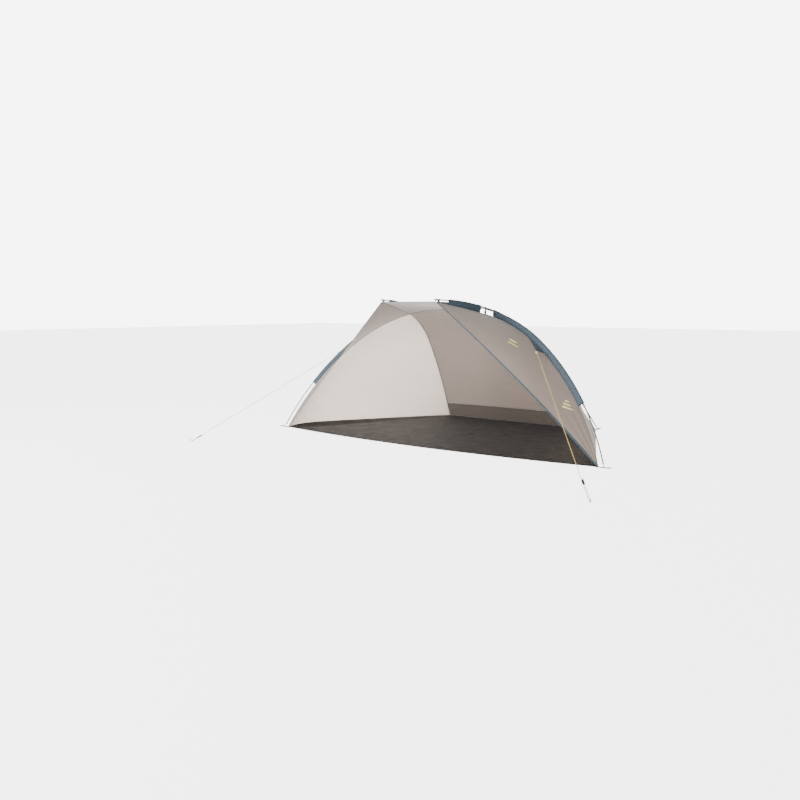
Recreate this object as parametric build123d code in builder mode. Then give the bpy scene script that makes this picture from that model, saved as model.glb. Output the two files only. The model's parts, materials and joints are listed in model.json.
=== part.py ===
"""Beach-type half-dome tarp shelter: sewn canopy, three shock-corded poles and two guylines.

Millimetres and degrees. +X is the right side, +Y the back and +Z up. The origin lies on the ground,
on the centre plane, half way between the roof's front corners and the outermost reach of the rear rings.
"""
import os
from math import acos, asin, atan2, ceil, cos, degrees, radians, sin, sqrt

from build123d import *

os.makedirs("parts", exist_ok=True)

# ------------------------------------------------------------------ canopy
foot_half_span = 1350.0      # centre plane to the fabric corner at each front foot
crown_height = 1013.0        # crown of the hoop seam, measured up the leaning hoop plane
hoop_rake = 19.0             # lean of the hoop plane towards the back
crown_radius = 2200.0        # hoop seam over the roof
crown_turn = 3.0
shoulder_radius = 1185.0     # hoop seam over each shoulder
shoulder_turn = 35.0
junction_half = 340.0        # centre plane to each pole crossing
brow_half = 233.0            # centre plane to each front corner of the roof
brow_forward = 153.0         # roof's front edge ahead of the front feet
brow_height = 1011.0
brow_bow = 10.0              # how far the roof's front edge curves back
rear_half_span = 703.0       # centre plane to each rear corner
shelter_depth = 1400.0       # front feet to rear corners
junction_heading = 15.5      # climb of the rear side seam at the crossing, going forwards
brow_seam_bow = 2.0          # bow of the seam from a crossing to the roof's front corner
rear_shoulder_radius = 1180.0
rear_shoulder_turn = 25.0
front_edge_out = 23.0        # how far each front edge bows outwards, half way up
front_edge_back = 23.0       # and how far it bows backwards
mud_wall_height = 130.0      # dark strip at the foot of the back
sill_bow = 110.0             # groundsheet's front edge curves forwards
panel_cloth = 1.2            # thickness that stands for one layer of sewn cloth
ground_cloth = 2.5
seam_inset = 0.003           # share of a seam left free at each edge of a panel
three_sided_tip = 0.012      # share of its length at which a three-sided panel's sewn point starts
cloth_rows = 8
ground_seam = 8.0            # groundsheet stops this far inside the walls' foot line
tape_bead = 7.0              # bound edge at each side of the front opening
brow_bead = 5.0              # bound edge of the roof's front

# ------------------------------------------------------------------ poles
pole_od = 8.5
pole_bore = 4.5
hoop_standoff = 34.0         # hoop pole's centre line outside the hoop seam
crossing_gap = 2.4           # side pole's line clears the hoop pole's by this much more than a pole
pole_heading = 13.0          # climb of the side pole at the crossing, going forwards
pole_shoulder_radius = 1150.0
pole_shoulder_turn = 28.0
rear_pin_out = 14.0          # side pole's lower end stands this far outside the rear corner
longest_section = 560.0      # longest tube that fits the carry bag
section_gap = 0.2
joint_ahead = 58.0           # side pole's joint in front of the crossing
ferrule_length = 60.0
ferrule_wall = 0.7
ferrule_fit = 0.05           # radial clearance on the tubes
shock_cord_od = 3.0
pole_end_height = 18.0       # height of the lower pole ends above the ground
tip_ahead = 4.0              # side pole's tip in front of the roof's front corner
tip_rise = 13.0              # and above it
cap_od = 16.0
cap_length = 26.0
cap_depth = 20.0
cap_fit = 0.15               # radial clearance of the cap on the pole
cap_rim = 2.0                # rounding of the cap

# ------------------------------------------------------------------ sleeves
sleeve_radius = 7.5          # sleeve's outside where it goes over the pole
sleeve_cloth = 0.8
sleeve_seam = 1.6            # thickness of the sleeve's sewn edge
sleeve_hem = 4.8             # solid cloth between the sleeve's tunnel and its seam
sleeve_crease = 0.4          # radius of the tunnel's narrow end
sleeve_stations = 6
sleeve_end_height = 370.0    # bare pole below this height
junction_bare = 70.0         # bare pole each side of a crossing
brow_bare = 125.0            # bare pole behind the roof's front corner

# ------------------------------------------------------------------ ground corners
pin_od = 4.2
pin_insert = 16.0            # pin's length inside the pole
pin_ball = 4.0               # radius of the pin's foot
tab_width = 18.0
tab_fit = 0.4                # radial clearance of webbing loops on the poles
tab_gap = 1.0                # webbing ends this far from a cap or a seam
tab_cloth = 2.4
tab_lap = 22.0               # webbing sewn over the groundsheet
tab_run = 26.0               # webbing from the pin's foot to the ring
ring_width = 34.0
ring_depth = 24.0
ring_corner = 7.0
ring_wire = 1.8              # radius of the ring's wire
rear_foot_out = 20.0         # rear corner to the foot of its pin, along the depth
ring_fit = 0.25              # radial clearance of the wire in the webbing fold
fold_cloth = 1.2

# ------------------------------------------------------------------ pole crossings
clip_fit = 0.2
clip_wall = 2.8
clip_thick = 8.0
clip_ahead = 16.0            # clip stands this far in front of the crossing
clip_mouth = 70.0            # half angle of the hook's mouth
clip_neck = 5.0
clip_eye_width = 15.0
clip_eye_height = 8.0
clip_slot = 2.6
clip_bar = 2.2
clip_horn = 7.0
clip_strap = 12.0            # length of strap between the clip's eye and the seam
strap_width = 9.0
strap_cloth = 1.2

# ------------------------------------------------------------------ guylines
cord_od = 3.5
guy_ring_radius = 9.0
guy_ring_wire = 1.7
gusset_top = 690.0           # hoop seam's distance from the centre plane at the gusset's upper end
gusset_bottom = 850.0        # and at its lower end
gusset_drop = 90.0           # seam to the gusset's free corner
gusset_cloth = 1.6
guy_fold_bore = 2.6          # webbing fold round the guy ring
guy_fold_width = 6.0
left_peg = (-1371.0, -948.0)     # measured from the middle of the front feet
right_peg = (1693.0, -872.0)
left_slider_reach = 62.0     # slider's centre above the peg
right_slider_reach = 155.0
peg_wire = 4.0
peg_height = 22.0
peg_hook = 15.0
loop_height = 7.0            # cord round the peg
turn_fit = 0.1               # straight cord left between the two turns round the peg
strand_gap = 8.0             # between the two strands below the slider
slider_length = 34.0
slider_width = 14.5
slider_thick = 7.0
slider_fit = 0.35            # radial clearance of the cord in the slider
tail_reach = 7.0             # tail's end past the slider


# ------------------------------------------------------------------ plane curves
def direction(angle):
    """Unit vector at an angle in a plane."""
    return Vector(cos(radians(angle)), sin(radians(angle)))


def arc_end(point, heading, radius, turn):
    """End of an arc that turns clockwise, and its heading there."""
    centre = point + direction(heading - 90) * radius
    return centre + direction(heading - turn + 90) * radius, heading - turn


def closing_arc(point, heading, target):
    """Radius and turn of the clockwise arc that leaves along a heading and ends at a target."""
    chord = target - point
    half_turn = heading - degrees(atan2(chord.Y, chord.X))
    return chord.length / (2 * sin(radians(half_turn))), 2 * half_turn


def arc_run(plane, start, heading, arcs):
    """Wire of tangent clockwise arcs in a plane, each given as radius and turn."""
    point = start
    with BuildLine(plane) as run:
        for radius, turn in arcs:
            centre = point + direction(heading - 90) * radius
            CenterArc((centre.X, centre.Y), radius, heading + 90, -turn)
            point, heading = arc_end(point, heading, radius, turn)
    return run.wires()[0]


def widened(arcs, offset):
    """The same run of arcs, moved outwards by an offset."""
    return [(radius + offset, turn) for radius, turn in arcs]


# ------------------------------------------------------------------ reference frame of the shelter
ring_reach = rear_foot_out + tab_run + ring_depth
front_line = -(shelter_depth + ring_reach - brow_forward - tip_ahead) / 2


def ground_point(x, y, z=0.0):
    """Point given from the middle of the front feet."""
    return Vector(x, front_line + y, z)


# ------------------------------------------------------------------ hoop plane and its curves
rake_sin = sin(radians(hoop_rake))
rake_cos = cos(radians(hoop_rake))
hoop_plane = Plane(origin=ground_point(0, 0), x_dir=(1, 0, 0), z_dir=(0, -rake_cos, rake_sin))

crown_end, crown_heading = arc_end(Vector(0, crown_height), 0, crown_radius, crown_turn)
shoulder_end, shoulder_heading = arc_end(crown_end, crown_heading, shoulder_radius, shoulder_turn)
leg_radius, leg_turn = closing_arc(shoulder_end, shoulder_heading, Vector(foot_half_span, 0))
foot_heading = crown_turn + shoulder_turn + leg_turn
shoulder = (shoulder_radius, shoulder_turn)
hoop_arcs = [(leg_radius, leg_turn), shoulder, (crown_radius, 2 * crown_turn), shoulder, (leg_radius, leg_turn)]
hoop_seam = arc_run(hoop_plane, Vector(-foot_half_span, 0), foot_heading, hoop_arcs)

leg_centre = Vector(-foot_half_span, 0) + direction(foot_heading - 90) * leg_radius
pole_leg_radius = leg_radius + hoop_standoff
pole_end_rise = pole_end_height / rake_cos - leg_centre.Y
pole_foot_heading = 90 - degrees(asin(pole_end_rise / pole_leg_radius))
pole_leg = (leg_radius, leg_turn + pole_foot_heading - foot_heading)
pole_start = leg_centre + direction(pole_foot_heading + 90) * pole_leg_radius
hoop_line = arc_run(
    hoop_plane,
    pole_start,
    pole_foot_heading,
    widened([pole_leg, shoulder, (crown_radius, 2 * crown_turn), shoulder, pole_leg], hoop_standoff),
)


def hoop_seam_point(x):
    """Point of the hoop seam at a distance from the centre plane, left side negative."""
    reach = abs(x)
    if reach <= crown_end.X:
        radius, centre = crown_radius, Vector(0, crown_height - crown_radius)
    elif reach <= shoulder_end.X:
        radius, centre = shoulder_radius, crown_end + direction(crown_heading - 90) * shoulder_radius
    else:
        radius, centre = leg_radius, Vector(-leg_centre.X, leg_centre.Y)
    rise = centre.Y + sqrt(radius**2 - (reach - centre.X) ** 2)
    return hoop_plane.from_local_coords(Vector(x, rise, 0))


# ------------------------------------------------------------------ corners of the canopy, left side
front_foot = ground_point(-foot_half_span, 0)
rear_foot = ground_point(-rear_half_span, shelter_depth)
junction = hoop_seam_point(-junction_half)
brow = ground_point(-brow_half, -brow_forward, brow_height)


def across(point):
    """The same point on the right side."""
    return Vector(-point.X, point.Y, point.Z)


# ------------------------------------------------------------------ side plane and its curves, left side
side_normal = (brow - rear_foot).cross(junction - rear_foot).normalized()
side_forward = Vector(0, 0, 1).cross(side_normal).normalized()
if side_forward.Y > 0:
    side_forward = -side_forward
side_normal = side_forward.cross(Vector(0, 0, 1) - side_normal * side_normal.Z).normalized()
side_plane = Plane(origin=rear_foot, x_dir=side_forward, z_dir=side_normal)
junction_flat = side_plane.to_local_coords(junction)
brow_flat = side_plane.to_local_coords(brow)
junction_flat = Vector(junction_flat.X, junction_flat.Y)
brow_flat = Vector(brow_flat.X, brow_flat.Y)

mirrored_junction = Vector(-junction_flat.X, junction_flat.Y)
rear_shoulder = (rear_shoulder_radius, rear_shoulder_turn)
rear_end, rear_heading = arc_end(mirrored_junction, -junction_heading, *rear_shoulder)
rear_leg = closing_arc(rear_end, rear_heading, Vector(0, 0))
rear_foot_heading = junction_heading + rear_shoulder_turn + rear_leg[1]
rear_seam = arc_run(side_plane, Vector(0, 0), rear_foot_heading, [rear_leg, rear_shoulder])
brow_chord = brow_flat - junction_flat
brow_bow_point = (junction_flat + brow_flat) * 0.5 + Vector(-brow_chord.Y, brow_chord.X).normalized() * brow_seam_bow
with BuildLine(side_plane) as brow_curve:
    ThreePointArc(tuple(junction_flat)[:2], tuple(brow_bow_point)[:2], tuple(brow_flat)[:2])
brow_seam = brow_curve.wires()[0]

# Side pole: it stands off most at the crossing and comes close to the cloth's corners at both ends
side_standoff = hoop_standoff + pole_od + crossing_gap
pole_crossing = junction_flat + direction(pole_heading + 90) * side_standoff
pole_shoulder = (pole_shoulder_radius, pole_shoulder_turn)
pole_rear_end, pole_rear_heading = arc_end(
    Vector(-pole_crossing.X, pole_crossing.Y), -pole_heading, *pole_shoulder
)
pole_rear_foot = Vector(-rear_pin_out, pole_end_height / side_plane.y_dir.Z)
pole_rear_leg = closing_arc(
    pole_rear_end, pole_rear_heading, Vector(-pole_rear_foot.X, pole_rear_foot.Y)
)
pole_brow_arc = closing_arc(pole_crossing, pole_heading, brow_flat + Vector(tip_ahead, tip_rise))
side_foot_heading = pole_heading + pole_shoulder_turn + pole_rear_leg[1]
side_line = arc_run(side_plane, pole_rear_foot, side_foot_heading, [pole_rear_leg, pole_shoulder, pole_brow_arc])

# Lengths along the two poles at which things happen
hoop_half = hoop_line.length / 2
crown_half = radians(crown_turn) * (crown_radius + hoop_standoff)
shoulder_share = (junction_half - crown_end.X) / shoulder_radius + sin(radians(crown_turn))
crossing_turn = degrees(asin(min(1.0, shoulder_share))) - crown_turn
junction_along = crown_half + radians(crossing_turn) * (shoulder_radius + hoop_standoff)
side_junction_along = radians(pole_rear_leg[1]) * pole_rear_leg[0] + radians(pole_shoulder_turn) * pole_shoulder_radius


def stretch(line, start, end):
    """Part of a line between two lengths along it."""
    return line.trim(start / line.length, end / line.length)


def at_height(line, height, start, end):
    """Length along a line at which it reaches a height, between two lengths."""
    for _ in range(40):
        middle = (start + end) / 2
        if line.position_at(middle / line.length).Z < height:
            start = middle
        else:
            end = middle
    return middle


def end_plane(path, towards=None):
    """Plane across the start of a path, with its x axis turned to a direction if one is given."""
    if towards is None:
        return Plane(origin=path @ 0, z_dir=path % 0)
    return Plane(origin=path @ 0, x_dir=towards, z_dir=path % 0)


def save(part, name):
    """Label a finished piece and write its STEP file."""
    part.label = name
    export_step(part, f"parts/{name}.step")


def save_pair(part, name):
    """Write a piece of the left side and its mirror image for the right side."""
    save(part, f"left_{name}")
    save(mirror(part, about=Plane.YZ), f"right_{name}")


# ------------------------------------------------------------------ pole sections
def pole_tube(path, outer, bore):
    """Tube swept along a path."""
    with BuildPart() as tube:
        with BuildSketch(end_plane(path)):
            Circle(outer / 2)
            Circle(bore / 2, mode=Mode.SUBTRACT)
        sweep(path=path)
    return tube.part


def even_cuts(length):
    """Ends of equal sections that share a length."""
    count = ceil(length / longest_section)
    return [length * step / count for step in range(count + 1)]


hoop_cuts = even_cuts(hoop_line.length)
side_cuts = even_cuts(side_junction_along + joint_ahead) + [side_line.length]


def pole_sections(line, cuts):
    """Tubes of one pole, end to end."""
    return [
        pole_tube(stretch(line, start + section_gap / 2, end - section_gap / 2), pole_od, pole_bore)
        for start, end in zip(cuts, cuts[1:])
    ]


def pole_ferrules(line, cuts):
    """Steel sleeves over the joints of one pole."""
    bore = pole_od + 2 * ferrule_fit
    return [
        pole_tube(
            stretch(line, cut - ferrule_length / 2, cut + ferrule_length / 2),
            bore + 2 * ferrule_wall,
            bore,
        )
        for cut in cuts[1:-1]
    ]


for number, section in enumerate(pole_sections(hoop_line, hoop_cuts), start=1):
    save(section, f"hoop_pole_section_{number}")
for number, section in enumerate(pole_sections(side_line, side_cuts), start=1):
    save_pair(section, f"side_pole_section_{number}")

save(Compound(children=pole_ferrules(hoop_line, hoop_cuts)), "hoop_ferrules")
left_ferrules = pole_ferrules(side_line, side_cuts)
right_ferrules = [mirror(ferrule, about=Plane.YZ) for ferrule in left_ferrules]
save(Compound(children=left_ferrules + right_ferrules), "side_pole_ferrules")


# ------------------------------------------------------------------ shock cords
cord_margin = pin_insert + 5.0


def shock_cord(line, end_margin):
    """Elastic cord inside one pole, from above the foot pin to near the other end."""
    path = stretch(line, cord_margin, line.length - end_margin)
    with BuildPart() as cord:
        with BuildSketch(end_plane(path)):
            Circle(shock_cord_od / 2)
        sweep(path=path)
    return cord.part


left_shock_cord = shock_cord(side_line, section_gap + 1.0)
shock_cords = [shock_cord(hoop_line, cord_margin), left_shock_cord, mirror(left_shock_cord, about=Plane.YZ)]
save(Compound(children=shock_cords), "shock_cords")

# ------------------------------------------------------------------ pole tip caps
tip_path = stretch(side_line, side_line.length - cap_depth, side_line.length)
tip_plane = Plane(origin=tip_path @ 1, x_dir=side_plane.z_dir, z_dir=tip_path % 1)
with BuildPart() as tip_cap:
    with BuildSketch(tip_plane.offset(-cap_depth)):
        Circle(cap_od / 2)
    extrude(amount=cap_length)
    fillet(tip_cap.edges().filter_by(GeomType.CIRCLE), radius=cap_rim)
    with BuildSketch(tip_plane.offset(-cap_depth)):
        Circle(pole_od / 2 + cap_fit)
    extrude(amount=cap_depth + section_gap, mode=Mode.SUBTRACT)
save_pair(tip_cap.part, "brow_tip_cap")


def inwards_at(line, plane, along):
    """Direction from a pole to its seam: square to the pole, in its plane."""
    towards = line.tangent_at(along / line.length).cross(plane.z_dir)
    return -towards if towards.Z > 0 else towards


def seam_reach(line, seam, along):
    """Distance from a pole to the seam under it, square to the pole."""
    point = line.position_at(along / line.length)
    axis = line.tangent_at(along / line.length)
    start = 0.0
    end = 1.0
    for _ in range(40):
        middle = (start + end) / 2
        if ((seam @ middle) - point).dot(axis) < 0:
            start = middle
        else:
            end = middle
    return ((seam @ middle) - point).length


# ------------------------------------------------------------------ brow tabs
tab_along = side_line.length - cap_depth - tab_gap - tab_width / 2
tab_stem = seam_reach(side_line, brow_seam, tab_along) - tab_gap
tab_plane = Plane(
    origin=side_line.position_at(tab_along / side_line.length),
    x_dir=inwards_at(side_line, side_plane, tab_along),
    z_dir=side_line.tangent_at(tab_along / side_line.length),
)
tab_hole = pole_od / 2 + tab_fit
with BuildPart() as brow_tab:
    with BuildSketch(tab_plane):
        Circle(tab_hole + tab_cloth / 2)
        with Locations((tab_stem / 2, 0)):
            Rectangle(tab_stem, tab_cloth)
        Circle(tab_hole, mode=Mode.SUBTRACT)
    extrude(amount=tab_width / 2, both=True)
save(
    Compound(children=[brow_tab.part, mirror(brow_tab.part, about=Plane.YZ)]),
    "brow_tabs",
)

# ------------------------------------------------------------------ edges of the cloth panels
left_leg_edge = hoop_seam.trim(0, junction)
crown_edge = hoop_seam.trim(junction, across(junction))
junction_to_rear = Wire([edge.reversed() for edge in rear_seam.edges()][::-1])
brow_to_junction = Wire([edge.reversed() for edge in brow_seam.edges()][::-1])
right_junction_to_rear = junction_to_rear.mirror(Plane.YZ)
right_brow_to_junction = brow_to_junction.mirror(Plane.YZ)
front_middle = (front_foot + brow) * 0.5 + Vector(-front_edge_out, front_edge_back, 0)
with BuildLine() as front_curve:
    ThreePointArc(front_foot, front_middle, brow)
with BuildLine() as roof_front_curve:
    ThreePointArc(brow, Vector(0, brow.Y + brow_bow, brow.Z), across(brow))
with BuildLine() as side_ground_line:
    Line(front_foot, rear_foot)
with BuildLine() as rear_ground_line:
    Line(rear_foot, across(rear_foot))
front_edge = front_curve.wire()
brow_edge = roof_front_curve.wire()
front_to_rear = side_ground_line.wire()
rear_ground_edge = rear_ground_line.wire()


def taut_panel(first, second, side, other_side=None):
    """Thin solid on the surface between two seams, bulged with the seams that join their ends.

    Without the other side seam, the two main seams start at one corner and the panel has three sides.
    """
    start = three_sided_tip if other_side is None else seam_inset
    rows = [start + (1 - seam_inset - start) * row / cloth_rows for row in range(cloth_rows + 1)]
    columns = [seam_inset + (1 - 2 * seam_inset) * column / cloth_rows for column in range(cloth_rows + 1)]

    def bulge(seam, share):
        return (seam @ share) - (seam @ 0) * (1 - share) - (seam @ 1) * share

    grid = []
    for row in rows:
        points = []
        for column in columns:
            point = (first @ row) * (1 - column) + (second @ row) * column + bulge(side, column) * row
            if other_side is not None:
                point += bulge(other_side, column) * (1 - row)
            points.append(point)
        grid.append(points)
    with BuildPart() as panel:
        thicken(Face.make_surface_from_array_of_points(grid, tol=0.5, max_deg=6), amount=panel_cloth / 2, both=True)
    return panel.part


save_pair(taut_panel(front_edge, left_leg_edge, brow_to_junction), "wing_panel")
save_pair(taut_panel(left_leg_edge, front_to_rear, junction_to_rear), "side_panel")
save(taut_panel(brow_edge, crown_edge, right_brow_to_junction, brow_to_junction), "roof_panel")
back = taut_panel(crown_edge, rear_ground_edge, right_junction_to_rear, junction_to_rear)
with BuildPart() as back_panel:
    add(back)
    split(bisect_by=Plane.XY.offset(mud_wall_height), keep=Keep.TOP)
save(back_panel.part, "back_panel")
with BuildPart() as rear_mud_wall:
    add(back)
    split(bisect_by=Plane.XY.offset(mud_wall_height), keep=Keep.BOTTOM)
save(rear_mud_wall.part, "rear_mud_wall")

# ------------------------------------------------------------------ groundsheet
with BuildPart() as groundsheet:
    with BuildSketch() as ground_outline:
        with BuildLine():
            ThreePointArc(front_foot, ground_point(0, -sill_bow), across(front_foot))
            Line(across(front_foot), across(rear_foot))
            Line(across(rear_foot), rear_foot)
            Line(rear_foot, front_foot)
        make_face()
        offset(amount=-ground_seam, mode=Mode.REPLACE)
    extrude(amount=ground_cloth)
save(groundsheet.part, "groundsheet")


# ------------------------------------------------------------------ bound edges
def bead(path, diameter):
    """Bound edge as a round bead along a path."""
    with BuildPart() as binding:
        with BuildSketch(end_plane(path)):
            Circle(diameter / 2)
        sweep(path=path)
    return binding.part


front_tape_path = front_edge.trim(0.006, 0.996)
brow_tape_path = brow_edge.trim(0.01, 0.99)
save_pair(bead(front_tape_path, tape_bead), "front_tape")
save(bead(brow_tape_path, brow_bead), "brow_tape")


# ------------------------------------------------------------------ pole sleeves
def sleeve(path, towards, standoff):
    """Cloth tunnel over a pole that narrows to its sewn edge on the seam."""
    def drop(radius, seam_radius, reach):
        with BuildSketch(end_plane(path, towards), mode=Mode.PRIVATE) as outline:
            Circle(radius)
            with Locations((reach, 0)):
                Circle(seam_radius)
            make_hull()
        return outline.sketch

    with BuildPart() as tunnel:
        sweep(drop(sleeve_radius, sleeve_seam / 2, standoff), path=path)
        sweep(
            drop(sleeve_radius - sleeve_cloth, sleeve_crease, standoff - sleeve_hem),
            path=path,
            mode=Mode.SUBTRACT,
        )
    return tunnel.part


def sleeve_on(line, plane, start, end, standoff):
    """Sleeve between two lengths along a pole, with its sewn edge on the inside of the bend."""
    path = stretch(line, start, end)
    inwards = (path % 0).cross(plane.z_dir)
    if inwards.Z > 0:
        inwards = -inwards
    return sleeve(path, inwards, standoff)


left_crossing = hoop_half - junction_along
sleeve_start = at_height(hoop_line, sleeve_end_height, 0, hoop_half)
left_hoop_sleeve = sleeve_on(
    hoop_line, hoop_plane, sleeve_start, left_crossing - junction_bare, hoop_standoff
)
save(left_hoop_sleeve, "hoop_sleeve_left")
save(mirror(left_hoop_sleeve, about=Plane.YZ), "hoop_sleeve_right")
centre_sleeve = sleeve_on(
    hoop_line,
    hoop_plane,
    left_crossing + junction_bare,
    2 * hoop_half - left_crossing - junction_bare,
    hoop_standoff,
)
save(centre_sleeve, "hoop_sleeve_centre")


def drop_face(plane, radius, seam_radius, reach):
    """Face with a round end on the pole and a narrow one on the seam, joined by tangents."""
    lean = acos((radius - seam_radius) / reach)
    wide = Vector(radius * cos(lean), radius * sin(lean))
    narrow = Vector(reach + seam_radius * cos(lean), seam_radius * sin(lean))
    with BuildSketch(plane) as outline:
        with BuildLine():
            ThreePointArc((wide.X, wide.Y), (-radius, 0), (wide.X, -wide.Y))
            Line((wide.X, -wide.Y), (narrow.X, -narrow.Y))
            ThreePointArc((narrow.X, -narrow.Y), (reach + seam_radius, 0), (narrow.X, narrow.Y))
            Line((narrow.X, narrow.Y), (wide.X, wide.Y))
        make_face()
    return outline.sketch


def tapered_sleeve(line, seam, start, end):
    """Sleeve whose depth follows the distance from the side pole to its seam."""
    outer = []
    inner = []
    for station in range(sleeve_stations):
        along = start + (end - start) * station / (sleeve_stations - 1)
        plane = Plane(
            origin=line.position_at(along / line.length),
            x_dir=inwards_at(line, side_plane, along),
            z_dir=line.tangent_at(along / line.length),
        )
        reach = seam_reach(line, seam, along)
        outer.append(drop_face(plane, sleeve_radius, sleeve_seam / 2, reach))
        inner.append(drop_face(plane, sleeve_radius - sleeve_cloth, sleeve_crease, reach - sleeve_hem))
    with BuildPart() as tunnel:
        loft(outer)
        loft(inner, mode=Mode.SUBTRACT)
    return tunnel.part


rear_sleeve_start = at_height(side_line, sleeve_end_height, 0, side_junction_along)
rear_sleeve_end = side_junction_along - junction_bare
save_pair(tapered_sleeve(side_line, rear_seam, rear_sleeve_start, rear_sleeve_end), "rear_sleeve")
brow_sleeve_start = side_junction_along + junction_bare
brow_sleeve_end = side_line.length - tip_ahead - brow_bare
save_pair(tapered_sleeve(side_line, brow_seam, brow_sleeve_start, brow_sleeve_end), "brow_sleeve")

# ------------------------------------------------------------------ gussets and guy rings, left side
gusset_upper = hoop_seam_point(-gusset_top)
gusset_lower = hoop_seam_point(-gusset_bottom)
gusset_root = (gusset_upper + gusset_lower) * 0.5
left_peg_point = ground_point(*left_peg)
right_peg_point = ground_point(*right_peg)
pull = (left_peg_point + across(right_peg_point)) * 0.5 - gusset_root
pull = pull.normalized()
gusset_corner = gusset_root + pull * gusset_drop
gusset_normal = (gusset_lower - gusset_upper).cross(pull).normalized()
gusset_plane = Plane(origin=gusset_corner, x_dir=pull, z_dir=gusset_normal)
fold_across = Plane(origin=gusset_corner, x_dir=pull, z_dir=gusset_normal.cross(pull))
with BuildPart() as gusset:
    with BuildSketch(gusset_plane):
        with BuildLine():
            Polyline(
                [
                    tuple(gusset_plane.to_local_coords(point))[:2]
                    for point in (gusset_upper, gusset_corner, gusset_lower)
                ],
                close=True,
            )
        make_face()
    extrude(amount=gusset_cloth / 2, both=True)
    with BuildSketch(fold_across):
        Circle(guy_fold_bore + gusset_cloth)
    extrude(amount=guy_fold_width / 2, both=True)
    with BuildSketch(fold_across):
        Circle(guy_fold_bore)
    extrude(amount=guy_fold_width, both=True, mode=Mode.SUBTRACT)
save_pair(gusset.part, "gusset")

ring_centre = gusset_corner + pull * guy_ring_radius
with BuildPart() as guy_ring:
    with BuildSketch(Plane(origin=ring_centre + pull * guy_ring_radius, x_dir=pull, z_dir=fold_across.z_dir)):
        Circle(guy_ring_wire)
    revolve(axis=Axis(ring_centre, gusset_normal), revolution_arc=360)
save_pair(guy_ring.part, "guy_ring")
cord_start = ring_centre + pull * (guy_ring_radius + guy_ring_wire)

# ------------------------------------------------------------------ guylines, sliders and pegs
peg_turn = strand_gap / 2 - turn_fit


def strands_plane(start, peg):
    """Plane of a guyline's two strands: x runs down the cord, y towards its second strand."""
    loop_centre = peg + Vector(0, 0, loop_height)
    lateral = Vector(0, 0, 1).cross(loop_centre - start).normalized()
    along = (loop_centre - lateral * (strand_gap / 2) - start).normalized()
    return Plane(origin=start, x_dir=along, z_dir=along.cross(lateral))


def strand(plane, points):
    """Cord along straight runs with arcs at its corners."""
    with BuildLine(plane) as route:
        if len(points) > 2:
            FilletPolyline(*points, radius=peg_turn)
        else:
            Line(*points)
    path = route.wire()
    with BuildPart() as cord:
        with BuildSketch(end_plane(path)):
            Circle(cord_od / 2)
        sweep(path=path)
    return cord.part


def slider_on(plane, centre_x):
    """Cord adjuster with one channel for each strand."""
    middle = plane.from_local_coords(Vector(centre_x, strand_gap / 2, 0))
    across_plane = Plane(origin=middle, x_dir=plane.y_dir, z_dir=plane.x_dir)
    with BuildPart() as slider:
        with BuildSketch(across_plane):
            SlotOverall(slider_width, slider_thick)
            with Locations((-strand_gap / 2, 0), (strand_gap / 2, 0)):
                Circle(cord_od / 2 + slider_fit, mode=Mode.SUBTRACT)
        extrude(amount=slider_length / 2, both=True)
    return slider.part


def guyline(start, peg, slider_reach, side):
    """Cord, its end below the slider, and the slider of one side."""
    plane = strands_plane(start, peg)
    peg_x = plane.to_local_coords(peg + Vector(0, 0, loop_height)).X
    slider_x = peg_x - slider_reach
    turn_x = peg_x + strand_gap / 2
    halfway = strand_gap / 2
    save(strand(plane, [(0, 0), (turn_x, 0), (turn_x, halfway)]), f"{side}_guyline")
    tail_x = slider_x - slider_length / 2 - tail_reach
    save(strand(plane, [(turn_x, halfway), (turn_x, strand_gap), (tail_x, strand_gap)]), f"{side}_guyline_tail")
    save(slider_on(plane, slider_x), f"{side}_slider")
    print(side, "guyline run", round(turn_x), "slider axis", plane.x_dir, "slider x", round(slider_x, 1))
    return plane


left_strands = guyline(cord_start, left_peg_point, left_slider_reach, "left")
right_strands = guyline(across(cord_start), right_peg_point, right_slider_reach, "right")


def peg_head(point, strands):
    """Part of a wire peg above the ground, with its hook turned away from the shelter."""
    away = Vector(strands.x_dir.X, strands.x_dir.Y, 0).normalized()
    plane = Plane(origin=point, x_dir=away, z_dir=away.cross(Vector(0, 0, 1)))
    with BuildLine(plane) as route:
        FilletPolyline((0, 0), (0, peg_height), (peg_hook, peg_height), (peg_hook, peg_height / 2), radius=peg_wire)
    path = route.wire()
    with BuildPart() as peg:
        with BuildSketch(end_plane(path)):
            Circle(peg_wire / 2)
        sweep(path=path)
    return peg.part


save(
    Compound(children=[peg_head(left_peg_point, left_strands), peg_head(right_peg_point, right_strands)]),
    "guy_pegs",
)

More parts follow.
